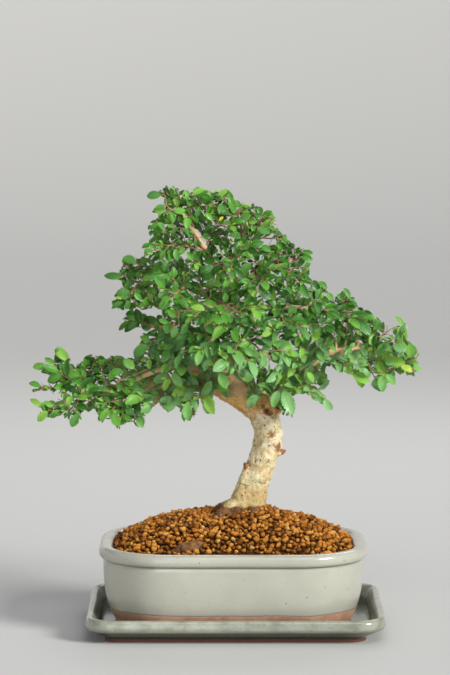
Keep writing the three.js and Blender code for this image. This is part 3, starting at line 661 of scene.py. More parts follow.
def make_wood(material):
    grown = Body()
    marks = []
    rng = np.random.default_rng(WOOD_SEED)
    for name, stations in LIMBS.items():
        grown.add_tube(limb_rings(name, stations))
        if name != "trunk":
            for rings in stub_rings(rng, stations):
                grown.add_tube(rings)
        marks += [(centre, radius, name == "trunk") for centre, radius in zip(*limb_run(stations, 4))]
    grown.add_tube(limb_rings("upper_left", UPPER_LEFT_LIMB))
    for stations in ROOTS + SNAGS:
        grown.add_tube(root_rings(stations))
    mesh = with_modifier(grown.mesh("wood_grown"), "REMESH", mode="VOXEL", voxel_size=VOXEL * MM)
    evened(mesh, SMOOTHING)
    points, normals = read_skin(mesh)

    tree = kdtree.KDTree(len(marks))
    for k, (centre, _, _) in enumerate(marks):
        tree.insert(Vector(centre), k)
    tree.balance()
    nearest = [tree.find(Vector(p))[1] for p in points]
    thick = np.array([marks[k][1] for k in nearest]) / TRUNK_RADIUS
    on_trunk = np.array([marks[k][2] for k in nearest], float)

    # Swells, ripples and grain, each of them stronger the thicker the limb is
    broad = noise_at(points, 9.0)
    fine = noise_at(points * [1, 1, 0.7], 3.2, 7.3)
    grainy = noise_at(points * [1, 1, 1.8], 1.5, 3.1)
    relief = (0.14 + 0.55 * thick) * (0.8 * broad + 0.7 * fine) + (0.07 + 0.3 * thick) * grainy
    # Plates of thin bark that stand a little proud of the bark under them
    plates = smooth_step(0.02, 0.2, noise_at(points * [1, 1, 0.8], 6.5, 21.0) + 0.35 * fine)
    relief = relief + 0.35 * plates * np.minimum(1, thick * 1.4)
    wide, deep = CREASE_SIZE
    crease = np.exp(-((crease_height(points) / wide) ** 2)) * on_trunk
    relief = relief - deep * crease
    start, full, fading, end = UNDERSIDE
    bend = smooth_step(start, full, points[:, 2]) * (1 - smooth_step(fading, end, points[:, 2]))
    relief = relief + UNDERSIDE_RISE * bend * on_trunk * np.clip(normals @ UNDERSIDE_WAY, 0, 1)
    scar_and_shade = np.zeros(len(points))
    for x, y, z, radius, rise, dark in KNOTS:
        away = np.linalg.norm(points - [x, y, z], axis=1) / radius
        relief = relief + rise * np.exp(-(away**2)) + 0.45 * abs(rise) * np.exp(-(((away - 1.35) / 0.4) ** 2))
        scar_and_shade = np.maximum(scar_and_shade, dark * np.exp(-(away**2.4)))
    write_points(mesh, (points + normals * relief[:, None]) * MM)

    pale = on_trunk * (1 - smooth_step(*TAN_FROM, points[:, 2] + 7 * broad))
    # The third value is 1 where soil stains the bark and -1 along the crease
    stained = smooth_step(*STAINED_BELOW, points[:, 2] + 3 * broad) - crease * smooth_step(-0.6, 0.1, broad)
    scar_and_shade = np.clip(scar_and_shade + 0.12 * grainy * (scar_and_shade > 0.1), 0, 1)
    put_values(mesh, np.stack([pale, scar_and_shade, stained], axis=1))
    mesh = with_modifier(mesh, "DECIMATE", ratio=WOOD_KEPT)
    smooth(mesh)
    return show(mesh, "bark_wood", [material], ["wood"])


# Leaves: closed blades with toothed edges, a folded midrib and an arched back

TEETH = [8, 9, 8, 8, 9, 8, 8, 8, 9, 8, 5, 6, 6, 6, 5]
SMALL_FROM = 10
SMALL_LEAF = 10.5
BLADE_THICKNESS = 0.022
# How far towards the rim the points of each row stand: well inside it, in its notches and on its teeth
INNER = 0.52
NOTCH = 0.83
TOOTH = 1.09
# Where a tooth's point stands between two notches
TOOTH_LEAN = 0.76
# A plain leaf, by which it is told whether a leaf would touch another
PROXY = [[0, 0], [0.3, 1], [0.7, 0.85], [1, 0], [0.7, -0.85], [0.3, -1], [0.5, 0]]
PROXY_FACES = [(0, 1, 6), (1, 2, 6), (2, 3, 6), (3, 4, 6), (4, 5, 6), (5, 0, 6)]


def blade_width(t):
    """Half width of an elm leaf at a share of its length, as a share of its widest."""
    return (1 - np.abs(2 * t**1.08 - 1) ** 2.1) ** 0.64


class Blade:
    """One leaf, a unit long along +X and a unit wide at its half width, with its root at the origin."""

    def __init__(self, k):
        teeth = TEETH[k]
        self.fold = 0.16 + 0.3 * chance(k + 0.1)
        self.arch = 0.1 + 0.24 * chance(k + 0.2)
        self.twist = 0.5 * swing(k + 0.3)
        self.wave = 0.05 * swing(k + 0.4)
        self.lopsided = 0.1 * swing(k + 0.5)
        self.sickle = 0.05 * swing(k + 0.6)
        rows = [i / teeth for i in range(1, teeth)]
        points, shares, rim = [], [], []

        def put(t, s, edge=False, drop=0.0):
            """Adds a point a share of the length along and a share of the width across."""
            points.append((t, s * blade_width(np.clip(t, 1e-4, 1 - 1e-4)) if 0 < t < 1 else 0.0, drop))
            shares.append((t, s))
            rim.append(edge)
            return len(points) - 1

        root, tip = put(0, 0, True), put(1, 0, True)
        top_rib = [put(t, 0) for t in rows]
        under_rib = [put(t, 0, drop=-BLADE_THICKNESS) for t in rows]
        faces, self.kinds = [], []
        for side in (1, -1):
            inner = [put(t, side * INNER, drop=0.008) for t in rows]
            notch = [put(t, side * NOTCH, True) for t in rows]
            tooth = [put((i + TOOTH_LEAN) / teeth, side * TOOTH, True) for i in range(teeth)]

            def face(kind, *corners):
                """A face of the upper side, kind 0, or of the underside, kind 1."""
                faces.append(corners if (side > 0) == (kind == 0) else corners[::-1])
                self.kinds.append(kind)

            face(0, root, inner[0], top_rib[0])
            face(0, root, tooth[0], inner[0])
            face(0, tooth[0], notch[0], inner[0])
            face(1, root, tooth[0], under_rib[0])
            face(1, tooth[0], notch[0], under_rib[0])
            for i in range(teeth - 2):
                face(0, top_rib[i], inner[i], inner[i + 1], top_rib[i + 1])
                face(0, inner[i], notch[i], tooth[i + 1])
                face(0, inner[i], tooth[i + 1], inner[i + 1])
                face(0, tooth[i + 1], notch[i + 1], inner[i + 1])
                face(1, under_rib[i], notch[i], tooth[i + 1])
                face(1, under_rib[i], tooth[i + 1], under_rib[i + 1])
                face(1, tooth[i + 1], notch[i + 1], under_rib[i + 1])
            face(0, top_rib[-1], inner[-1], tip)
            face(0, inner[-1], tooth[-1], tip)
            face(0, inner[-1], notch[-1], tooth[-1])
            face(1, under_rib[-1], tooth[-1], tip)
            face(1, under_rib[-1], notch[-1], tooth[-1])
        self.points = np.array(points)
        self.shares = np.array(shares)
        self.rim = np.array(rim)
        self.faces = faces

    def shaped(self, flat, length, half_width):
        """The blade's curves put on points of its flat outline."""
        t, s, drop = flat[:, 0], flat[:, 1], flat[:, 2]
        y = s * half_width * (1 + self.lopsided * np.sign(s)) + self.sickle * length * np.sin(np.pi * t)
        x = t * length
        z = self.fold * np.abs(s) * half_width - self.arch * t**2 * length + drop * length
        z = z + self.wave * length * np.sin(2 * np.pi * t) * np.abs(s)
        turn = self.twist * t
        return np.stack([x, y * np.cos(turn) - z * np.sin(turn) * 0.3, z + y * np.sin(turn)], axis=1)


BLADES = [Blade(k) for k in range(len(TEETH))]
# The third material of a spray, after the leaves' upper face and underside
TWIG = 2

# Sprays

LEAF_LENGTHS = [15.2, 10.8]
LEAF_HEIGHTS = [230, 345]
LEFT_LEAVES = 0.79
LEFT_FROM = [-80, -110]
LEAF_LIVELY = [0.56, 1.28]
# Tones run from 0 for the darkest leaves to 1 for a yellow one: mean and spread, and their range
USUAL_TONE = [0.36, 0.19]
TONE_RANGE = [0.02, 0.84]
YOUNGEST_TONE = 0.86
# What end leaves gain, and what leaves gain towards the right, the top and the bottom, with where from and
# to. End and top leaves are young and paler; the gains towards the right and the bottom are painted light
PALER_END = 0.16
PAINTED_LIGHT_RIGHT = [0.14, 125, 165]
PALER_TOP = [0.08, 340, 400]
PAINTED_LIGHT_LOW = [0.1, 280, 235]
LEAF_SLIMNESS = [0.24, 0.33]
TUFT_LENGTHS = [0.3, 0.52]
MAIN_RADII = [1.25, 0.5]
SIDE_RADII = [0.52, 0.28]
SIDE_LENGTHS = [31, 15]
SIDE_SPACING = 7.2
LEAF_SPACING = 4.3
TIP_SHARE = 0.85
FILL_SEED = 3
# The crown is filled in passes over pixels a few apart: the share to cover, and how far round each pixel
FILL_STEP = 5
FILL_ROWS = [180, 430]
FILL_COLUMNS = [24, 424]
FILL_PASSES = [(0.6, 7), (0.82, 5), (0.92, 4), (0.97, 3), (0.97, 2), (0.99, 3)]
FILL_REACH = [7, 34]
FILL_DEPTH = 0.75
DEEPEST_FILL = 90
LONGEST_FILL = 40
# Numbers that tell twigs of one spray apart, and seeds for what each of them draws
FIRST_FILL = 100
FIRST_CHOSEN = 500
FIRST_CHOSEN_SEED = 700
FIRST_FILL_SEED = 1000
# How much nearer the viewer than its twig a chosen leaf stands, tried in turn, and what depth counts for
NEARER = [14, 20, 9, 26, 5, 0, 32, 38, -6]
DEPTH_COUNTS = 0.12
CHOSEN_LENGTH = 0.93
SHORTEST_STALK = 0.8
STALK_RADII = [0.42, 0.3]
CELL = 22.0
# Roll and tilt that a leaf is given in turn until it is clear of what stands there, and its sizes
TRIES = [
    (0, 0), (0.5, 0.1), (-0.5, 0.1), (0.9, -0.2), (-0.9, -0.2), (0.3, 0.5), (-0.3, -0.5), (1.3, 0), (-1.3, 0),
]
TRIED_SIZES = [1, 0.74]
STALKS = [1.3, 2.2]


class Crown:
    """What already stands in the crown, so that a new leaf is set clear of it."""

    def __init__(self):
        self.cells = {}
        self.wood = wood_shape()
        self.leaves = 0
        self.inside = filled(CROWN_OUTLINE)
        for gap in CROWN_GAPS:
            self.inside &= ~filled(gap)
        self.cover = np.zeros((FRAME[1], FRAME[0]), np.int32)
        self.anchors = []
        self.spots = np.empty((0, 2))

    def remember(self, points, spray, face):
        """Keeps places on a twig that another twig or a leaf may grow from."""
        self.anchors += [(p, spray, face) for p in points]
        self.spots = np.vstack([self.spots, seen(points)])

    def cell(self, at):
        return tuple(int(math.floor(c / CELL)) for c in at)

    def stand(self, shape, at, owner):
        self.cells.setdefault(self.cell(at), []).append((shape, owner))

    def holds(self, points):
        """Whether all points show inside the crown's outline."""
        spots = seen(points).astype(int)
        return bool(self.inside[spots[:, 1], spots[:, 0]].all())

    def mark(self, points):
        """Counts the pixels that a leaf's points cover."""
        spots = seen(points).astype(int)
        for x, y in ((0, 0), (1, 0), (0, 1), (1, 1)):
            self.cover[spots[:, 1] + y, spots[:, 0] + x] += 1

    def is_clear(self, shape, at, owner):
        if self.wood.overlap(shape):
            return False
        for cell in itertools.product(*((c - 1, c, c + 1) for c in self.cell(at))):
            for other, other_owner in self.cells.get(cell, ()):
                if other_owner != owner and other.overlap(shape):
                    return False
        return True


def shape_of(points, faces):
    return BVHTree.FromPolygons([tuple(p) for p in points], faces)


def wood_shape():
    """Plain limbs, a little thicker than the wood, that leaves keep clear of."""
    rough = Body()
    for stations in [*LIMBS.values(), *ROOTS, *SNAGS]:
        centres, radii = limb_run(stations, 6)
        rough.add_tube(tube_rings(centres, radii * 1.08, 8))
    return shape_of(np.vstack(rough.points), rough.faces)


def turned(up, axis, angle):
    """A way turned about an axis that is square to it."""
    return up * math.cos(angle) + np.cross(axis, up) * math.sin(angle)


def paler(rule, place):
    """What a leaf's tone gains over a stretch of the crown."""
    gain, start, full = rule
    return gain * float(smooth_step(start, full, place))


class Spray:
    """A twig with its side twigs and leaves, in one mesh."""

    def __init__(self, crown, name, seed):
        self.crown, self.name, self.seed = crown, name, seed
        self.rng = np.random.default_rng(seed)
        self.body = Body()
        self.rims = []
        self.fills = 0

    def leaf(self, at, direction, face, length, tone, owner, chosen=False):
        """Sets a leaf on a short stalk, turned until it is clear, and says whether there was room for it."""
        rng = self.rng
        small = length < SMALL_LEAF
        blade = BLADES[rng.integers(SMALL_FROM, len(BLADES)) if small else rng.integers(SMALL_FROM)]
        slim = rng.uniform(*LEAF_SLIMNESS)
        stalk = rng.uniform(*STALKS)
        for share in TRIED_SIZES:
            for roll, tilt in TRIES:
                along = unit(direction + tilt * face)
                up = unit(face - along * (face @ along))
                up = turned(up, along, roll + rng.normal(0, 0.2))
                axes = np.stack([along, np.cross(up, along), up])
                root = at + along * stalk
                reach = length * share
                outline = np.array([(t, s, 0.0) for t, s in PROXY])
                rough = root + blade.shaped(outline, reach, reach * slim) @ axes
                shape = shape_of(rough, PROXY_FACES)
                middle = rough[6]
                if not chosen and not self.crown.holds([middle, root + (rough[3] - root) * TIP_SHARE]):
                    continue
                if not self.crown.is_clear(shape, middle, owner):
                    continue
                self.crown.stand(shape, middle, (owner, self.crown.leaves))
                self.crown.leaves += 1
                points = root + blade.shaped(blade.points, reach, reach * slim) @ axes
                values = np.column_stack([blade.shares, np.full(len(points), tone)])
                self.crown.mark(points)
                self.rims.append(self.body.count + np.flatnonzero(blade.rim))
                self.body.add(points, blade.faces, blade.kinds, values)
                stem = [at - along * 0.3, at + along * 0.5 * stalk - up * 0.12, root + along * 0.5]
                rings = tube_rings(stem, [0.42, 0.32, 0.26], 3, flat_to=up)
                self.body.add_tube(rings, TWIG, (1, 0, tone))
                return True
        return False

    def shoot(self, points, radii, face, owner, sides, bare=0.0):
        """A twig with alternate leaves, cut where it would leave the crown, with a share of it left bare."""
        rng = self.rng
        spots = seen(points).astype(int)
        outside = np.flatnonzero(~self.crown.inside[spots[:, 1], spots[:, 0]])
        outside = outside[outside > len(points) // 3]
        if len(outside) and owner[1]:
            points = points[: outside[0]]
        count = len(points)
        if count < 3:
            return
        sway = rng.normal(0, 0.28, (count, 3))
        sway[0] = 0
        centres = points + sway
        widths = np.linspace(*radii, count)
        values = np.stack([np.linspace(0, 1, count), np.zeros(count), np.full(count, rng.random())], axis=1)
        self.body.add_tube(tube_rings(centres, widths, sides), TWIG, np.repeat(values, sides, axis=0))
        rough = tube_rings(centres, widths, 3)
        for a in range(0, count - 1, 2):
            part = Body()
            part.add_tube(rough[a : a + 3])
            self.crown.stand(shape_of(np.vstack(part.points), part.faces), centres[a], owner)
        self.crown.remember(centres[1 : count - 1 : 2], self, face)
        lengths = walked_along(centres)
        total = lengths[-1]

        def at_length(d):
            return np.array([np.interp(d, lengths, centres[:, k]) for k in range(3)])

        nodes = np.arange(max(2.0, bare * total), total - 1.5, LEAF_SPACING)
        hand = 1 if rng.random() < 0.5 else -1
        for n, d in enumerate(list(nodes) + [total]):
            last = n == len(nodes)
            d = min(max(d + (0 if last else rng.normal(0, 0.7)), 0.5), total)
            at = at_length(d)
            tangent = unit(at_length(min(d + 2, total)) - at_length(max(d - 2, 0)))
            sideways = unit(np.cross(face, tangent))
            spread = rng.normal(0, 0.15) if last else hand * rng.uniform(0.7, 1.15)
            hand = -hand
            direction = tangent * math.cos(spread) + sideways * math.sin(spread)
            direction = direction + face * rng.normal(0.02, 0.24) - np.array([0, 0, rng.uniform(0, 0.3)])
            growth = 0.72 + 0.32 * min(1, (n + 1) / max(3, len(nodes)))
            base = lerp(LEAF_LENGTHS, float(smooth_step(*LEAF_HEIGHTS, at[2])))
            base *= lerp([1, LEFT_LEAVES], float(smooth_step(*LEFT_FROM, at[0])))
            # Young end and top leaves are paler; painted light makes leaves paler towards the right and low
            # in the crown
            young_and_painted_light = PALER_END * last + paler(PAINTED_LIGHT_RIGHT, at[0]) + paler(PALER_TOP, at[2])
            tone = np.clip(rng.normal(*USUAL_TONE) + young_and_painted_light + paler(PAINTED_LIGHT_LOW, at[2]), *TONE_RANGE)
            self.leaf(at, unit(direction), face, base * growth * rng.uniform(*LEAF_LIVELY), tone, owner)
        # Two young leaves beside the end leaf
        for hand in (-1, 1):
            way = unit(tangent + sideways * hand * rng.uniform(0.7, 1.4) + face * rng.uniform(0.1, 0.7))
            length = base * rng.uniform(*TUFT_LENGTHS)
            self.leaf(at, way, face, length, min(YOUNGEST_TONE, tone + rng.uniform(0.1, 0.35)), owner)

    def grow(self, start, tip, middle, face):
        """The main twig, and side twigs on alternate sides of it."""
        path = Path([start, middle, tip])
        length = float(np.linalg.norm(np.diff(path.points(12), axis=0), axis=1).sum())
        owner = (self.name, 0)
        self.shoot(path.points(4 + int(length / 5)), MAIN_RADII, face, owner, 6, bare=0.3)
        hand = 1 if chance(self.seed + 0.7) < 0.5 else -1
        for n in range(int(length / SIDE_SPACING)):
            share = 0.14 + (n + 0.5 + self.rng.normal(0, 0.16)) * SIDE_SPACING / length * 0.86
            if share > 0.93:
                break
            at = path.at(share)
            tangent = unit(path.at(min(share + 0.05, 1)) - path.at(share - 0.05))
            hand = -hand
            spread = hand * self.rng.uniform(0.65, 1.1)
            lift = self.rng.normal(0.05, 0.3)
            sideways = unit(np.cross(face, tangent))
            way = unit(tangent * math.cos(spread) + sideways * math.sin(spread) + face * lift)
            reach = lerp(SIDE_LENGTHS, share) * self.rng.uniform(0.7, 1.2)
            end = at + way * reach
            half = at + way * reach * 0.5 + tangent * (-0.06 * reach) + np.array([0, 0, 0.05 * reach])
            side = Path([at, half, end])
            tilt = unit(face + 0.35 * self.rng.normal(0, 1, 3) * [1, 0.6, 1])
            self.shoot(side.points(4 + int(reach / 6)), SIDE_RADII, tilt, (self.name, n + 1), 5)


def fill_crown(crown):
    """Grows short twigs from those that stand already until the crown is as close as its outline asks."""
    rng = np.random.default_rng(FILL_SEED)
    grown = 0
    rows, columns = range(*FILL_ROWS, FILL_STEP), range(*FILL_COLUMNS, FILL_STEP)
    for wanted, window in FILL_PASSES:
        cells = [(x, y) for y in rows for x in columns if crown.inside[y, x]]
        rng.shuffle(cells)
        for x, y in cells:
            near = (slice(y - window, y + window + 1), slice(x - window, x + window + 1))
            room = crown.inside[near]
            if (crown.cover[near][room] > 0).mean() > wanted:
                continue
            away = np.linalg.norm(crown.spots - (x, y), axis=1)
            able = np.flatnonzero((away > FILL_REACH[0]) & (away < FILL_REACH[1]))
            if not len(able):
                continue
            best = able[np.argsort(away[able] + rng.uniform(0, 14, len(able)))[:4]]
            start, spray, face = crown.anchors[best[rng.integers(len(best))]]
            depth = start[1] + rng.uniform(-1, 1) * FILL_DEPTH * away[best[0]]
            end = behind_pixel((x + 0.5, y + 0.5), float(np.clip(depth, -DEEPEST_FILL, DEEPEST_FILL)))
            reach = np.linalg.norm(end - start)
            if reach > LONGEST_FILL:
                continue
            sag = np.array([rng.normal(0, 0.05), rng.normal(0, 0.05), 0.06]) * reach
            path = Path([start, (start + end) / 2 + sag, end + (end - start) * 0.12])
            spray.fills += 1
            spray.rng = np.random.default_rng(FIRST_FILL_SEED + 37 * grown)
            tilt = unit(face + 0.3 * rng.normal(0, 1, 3))
            owner = (spray.name, FIRST_FILL + spray.fills)
            spray.shoot(path.points(4 + int(reach / 6)), SIDE_RADII, tilt, owner, 4)
            grown += 1


def nearest_anchor(crown, spot):
    """The place on a twig that shows nearest to a pixel, with those nearer the viewer before others."""
    away = np.linalg.norm(crown.spots - spot, axis=1)
    depth = np.array([point[1] for point, _, _ in crown.anchors])
    return crown.anchors[int(np.argmin(away + DEPTH_COUNTS * depth))]


def grow_chosen(crown):
    """Grows the bare twigs and the chosen leaves, each from the twig that shows nearest to its root."""
    for k, (*spots, radius) in enumerate(BARE_TWIGS):
        start, spray, face = nearest_anchor(crown, spots[0])
        path = Path([start] + [behind_pixel(spot, start[1] - 1.5 * i) for i, spot in enumerate(spots)])
        points = path.points(8 + 2 * len(spots))
        rings = tube_rings(points, np.linspace(radius, 0.55 * radius, len(points)), 6)
        spray.body.add_tube(rings, TWIG, (0.1, 0, chance(k)))
        crown.remember(points[2:-2], spray, face)
    for k, (x, y, tip_x, tip_y, tone) in enumerate(CHOSEN_LEAVES):
        start, spray, face = nearest_anchor(crown, (x, y))
        spray.rng = np.random.default_rng(FIRST_CHOSEN_SEED + k)
        owner = (spray.name, FIRST_CHOSEN + k)
        side = -1 if start[1] < 40 else 1
        look = unit(np.array([0.3 * swing(k), side, 0.35 + 0.3 * swing(k + 0.5)]))
        for nearer in NEARER:
            depth = start[1] - nearer
            at, tip = behind_pixel((x, y), depth), behind_pixel((tip_x, tip_y), depth - 1)
            length = float(np.linalg.norm(tip - at))
            if not spray.leaf(at, unit(tip - at), look, CHOSEN_LENGTH * length, tone, owner, chosen=True):
                continue
            if np.linalg.norm(at - start) > SHORTEST_STALK:
                half = (start + at) / 2 + [0, 0, 0.05 * length]
                points = Path([start, half, at]).points(6)
                rings = tube_rings(points, np.linspace(*STALK_RADII, 6), 4)
                spray.body.add_tube(rings, TWIG, (0.5, 0, 0.5))
            break


def make_sprays(materials):
    crown = Crown()
    sprays = []
    for i, (name, limb, share, reach) in enumerate(SPRAYS):
        start = Path(LIMBS[limb]).at(share)
        tip = np.array(reach, float)
        tip -= END_LEAF_REACH * unit(tip - start)
        middle = (start + tip) / 2
        length = np.linalg.norm(tip - start)
        middle += length * np.array([STEM_STRAY * swing(i), STEM_STRAY * swing(i + 0.4), STEM_SAG])
        outward = (-1 if middle[1] < CROWN_MIDDLE_Y else 1) * lerp(FACE_OUTWARD, chance(i + 0.3))
        face = unit(np.array([FACE_STRAY * swing(i), outward, FACE_UPWARD]))
        spray = Spray(crown, name, i)
        spray.grow(start, tip, middle, face)
        sprays.append(spray)
    grow_chosen(crown)
    fill_crown(crown)
    for spray in sprays:
        mesh = spray.body.mesh(spray.name + "_foliage")
        is_rim = np.zeros(spray.body.count, bool)
        is_rim[np.concatenate(spray.rims)] = True
        sharp = is_rim[edge_ends(mesh)].all(axis=1)
        mesh.attributes.new("sharp_edge", "BOOLEAN", "EDGE").data.foreach_set("value", sharp)
        show(mesh, spray.name + "_foliage", materials, [spray.name])


# Soil: separate lumps of baked clay on a bed of fines

SOIL_SEED = 11
GRAIN_RADII = [1, 3.6]
GRAIN_CLOSENESS = 0.74
GRAIN_THROWS = 70000
GRAIN_SHAPES = 26
GRAIN_SHADE = [0.12, 1]
LARGE_GRAIN = 2.3
LUMPS = [4, 8]
CHIPS = [3, 7]
# Where the soil is heaped round the trunk: x, y, spread and height
HEAPS = [
    [28, -18, 14, 6.4], [8, -22, 13, 2.2], [35, 0, 10, 4.4], [70, 4, 10, 2.8], [95, 0, 8, 4],
    [-50, 2, 12, 1.8], [-73, 4, 7, 2.4], [-104, -4, 8, 2],
]
UNDER_STEP = 4.4
UNDER_DROP = 2.5
BED_DROP = 4.2
BED_CLEAR = 0.3
BED_RINGS = 22
# How the grains' sizes are spread between the two radii, as a beta distribution
GRAIN_SIZES = [1.9, 2.3]
GRAIN_HEIGHTS = [-1.3, 0.9]
GRAIN_SUNK = 0.3
UNDER_RADII = [1.9, 2.7]
UNDER_SUNK = [0, 0.8]
UNDER_SHADE = 0.1


def mound_top(x, y):
    """Height of the soil's surface, with its heaps."""
    across = np.abs((x - POT_X) / MOUND_HALF[0]) ** MOUND_POWER
    deep = np.abs(y / MOUND_HALF[1]) ** MOUND_POWER
    top = SOIL_EDGE + MOUND_HEIGHT * np.maximum(0, 1 - across - deep) ** MOUND_ROUNDING
    for cx, cy, spread, height in HEAPS:
        top = top + height * np.exp(-(((x - cx) / spread) ** 2 + ((y - cy) / spread) ** 2))
    return top


CORNERS = [(1, 1), (-1, 1), (-1, -1), (1, -1)]


def rounded_ring(half_x, half_y, corner, z, steps, edge_x=1, edge_y=1):
    """A level ring, anticlockwise from above, with round corners and extra points on its straight sides."""

    def on_corner(quarter, share):
        right, far = CORNERS[quarter]
        angle = (quarter + share) * math.pi / 2
        x = right * (half_x - corner) + corner * math.cos(angle)
        return np.array([x, far * (half_y - corner) + corner * math.sin(angle), z])

    ring = []
    for quarter, extra in enumerate([edge_x, edge_y, edge_x, edge_y]):
        ring += [on_corner(quarter, step / steps) for step in range(steps + 1)]
        ends = [ring[-1], on_corner((quarter + 1) % 4, 0)]
        ring += [lerp(ends, k / (extra + 1)) for k in range(1, extra + 1)]
    return np.array(ring)


def pot_ring(inset, z):
    ring = rounded_ring(POT_HALF[0] - inset, POT_HALF[1] - inset, POT_CORNER - inset, z, 14, 9, 4)
    return ring + [POT_X, 0, 0]


def in_pot(x, y, margin):
    """Whether a point is inside the pot's wall by a margin."""
    half_x, half_y = POT_HALF[0] - WALL - margin, POT_HALF[1] - WALL - margin
    corner = POT_CORNER - WALL - margin
    dx = max(abs(x - POT_X) - (half_x - corner), 0)
    dy = max(abs(y) - (half_y - corner), 0)
    return dx * dx + dy * dy < corner * corner


def ball(cuts):
    """A unit ball of even triangles: an icosahedron with each edge cut a number of times."""
    made = bmesh.new()
    bmesh.ops.create_icosphere(made, subdivisions=1, radius=1)
    if cuts:
        bmesh.ops.subdivide_edges(made, edges=made.edges[:], cuts=cuts, use_grid_fill=True)
    bmesh.ops.triangulate(made, faces=made.faces[:])
    made.verts.index_update()
    points = np.array([v.co.normalized() for v in made.verts])
    faces = [tuple(v.index for v in f.verts) for f in made.faces]
    made.free()
    return points, faces


def lumpy(points, rng):
    """A ball grown into a cluster of lumps that are stuck together."""
    reach = np.full(len(points), 0.52)
    for _ in range(rng.integers(*LUMPS)):
        way = unit(rng.normal(size=3)) * rng.uniform(0.34, 0.62)
        size = rng.uniform(0.38, 0.6)
        along = points @ way
        inside = along**2 - way @ way + size**2
        reach = np.where(inside > 0, np.maximum(reach, along + np.sqrt(np.maximum(inside, 0))), reach)
    for _ in range(rng.integers(*CHIPS)):
        facing = points @ unit(rng.normal(size=3))
        chipped = np.minimum(reach, rng.uniform(0.62, 0.85) / np.maximum(facing, 0.2))
        reach = np.where(facing > 0.2, chipped, reach)
    reach = reach * (1 + 0.4 * noise_at(points, 0.5, 10.0 * rng.random()))
    return points * reach[:, None] * rng.uniform(0.8, 1.3, 3)


def random_turn(rng):
    """A turn as three rows, even over all ways to turn."""
    q = rng.normal(size=4)
    w, x, y, z = q / np.linalg.norm(q)
    rows = [
        [1 - 2 * (y * y + z * z), 2 * (x * y - z * w), 2 * (x * z + y * w)],
        [2 * (x * y + z * w), 1 - 2 * (x * x + z * z), 2 * (y * z - x * w)],
        [2 * (x * z - y * w), 2 * (y * z + x * w), 1 - 2 * (x * x + y * y)],
    ]
    return np.array(rows)


def make_soil(materials, wood):
    rng = np.random.default_rng(SOIL_SEED)
    view = bpy.context.evaluated_depsgraph_get()
    bark = BVHTree.FromObject(wood, view)

    def is_free(at, radius):
        """Whether a grain there stands clear of the wood."""
        near, normal, _, away = bark.find_nearest(Vector(at) * MM)
        outside = (Vector(at) * MM - near).dot(normal) > 0
        return outside and away > 0.15 * radius * MM

    placed, cells = [], {}
    size = 2 * GRAIN_RADII[1]
    radii = np.sort(lerp(GRAIN_RADII, rng.beta(*GRAIN_SIZES, GRAIN_THROWS)))[::-1]
    for radius in radii:
        x = POT_X + rng.uniform(-1, 1) * (POT_HALF[0] - WALL)
        y = rng.uniform(-1, 1) * (POT_HALF[1] - WALL)
        if not in_pot(x, y, 0.6 * radius):
            continue
        i, j = int(x // size), int(y // size)
        near = [g for a in (i - 1, i, i + 1) for b in (j - 1, j, j + 1) for g in cells.get((a, b), ())]
        if any(math.hypot(x - g[0], y - g[1]) < GRAIN_CLOSENESS * (radius + g[2]) for g in near):
            continue
        z = float(mound_top(x, y)) + rng.uniform(*GRAIN_HEIGHTS) - GRAIN_SUNK * radius
        if not is_free((x, y, z), radius):
            continue
        cells.setdefault((i, j), []).append((x, y, radius))
        placed.append((x, y, z, radius, 1.0))
    # Grains from here on lie under the others, darkened with painted shade
    top = len(placed)
    for x in np.arange(-POT_HALF[0], POT_HALF[0], UNDER_STEP):
        for y in np.arange(-POT_HALF[1], POT_HALF[1], UNDER_STEP):
            px, py = x + POT_X + rng.uniform(-1, 1), y + rng.uniform(-1, 1)
            radius = rng.uniform(*UNDER_RADII)
            if not in_pot(px, py, radius):
                continue
            z = float(mound_top(px, py)) - UNDER_DROP - rng.uniform(*UNDER_SUNK)
            if is_free((px, py, z), radius):
                placed.append((px, py, z, radius, UNDER_SHADE))

    kinds = []
    for cuts in (2, 1, 0):
        points, faces = ball(cuts)
        kinds.append(([lumpy(points, rng) for _ in range(GRAIN_SHAPES)], faces))
    grains = {"grains_front": Body(), "grains_back": Body(), "grains_under": Body()}
    for k, (x, y, z, radius, light) in enumerate(placed):
        shapes, faces = kinds[2 if k >= top else 0 if radius > LARGE_GRAIN else 1]
        shape = shapes[rng.integers(GRAIN_SHAPES)] @ random_turn(rng) * radius
        name = "grains_under" if k >= top else "grains_front" if y < 0 else "grains_back"
        # The third value darkens a grain towards its underside with painted shade
        values = np.empty((len(shape), 3))
        values[:, 0] = rng.random()
        values[:, 1] = rng.random()
        values[:, 2] = light * lerp(GRAIN_SHADE, smooth_step(-0.5, 0.55, shape[:, 2] / radius))
        grains[name].add(shape + [x, y, z], faces, 0, values)

    rings = [pot_ring(inset + BED_CLEAR, z) for inset, z in reversed(POT_INSIDE[1:])]
    edge = pot_ring(WALL + BED_CLEAR, 0)
    middle = np.array([POT_X, 0, 0])
    for k in range(BED_RINGS):
        share = 1 - k / BED_RINGS
        ring = middle + (edge - middle) * share
        ring[:, 2] = mound_top(ring[:, 0], ring[:, 1]) - BED_DROP * min(1, 0.5 + 2 * (1 - share))
        rings.append(ring)
    bed = Body()
    # The bed's third value darkens it with painted shade where it shows between the grains
    bed.add_tube(rings, 0, (0.2, 0.5, 0.1))
    show(bed.mesh("soil_bed"), "soil_bed", materials, ["soil"])
    for name, body in grains.items():
        show(body.mesh(name), name, materials)


# Pot and tray

THROWN_WAVES = 0.35
TRAY_WAVES = 0.4
# Height at which the pot's glaze stops, and how far that wanders
GLAZE_LINE = [24.2, 1.0]
GLAZE_THICKNESS = 0.22
SHARP_FROM = math.radians(38)


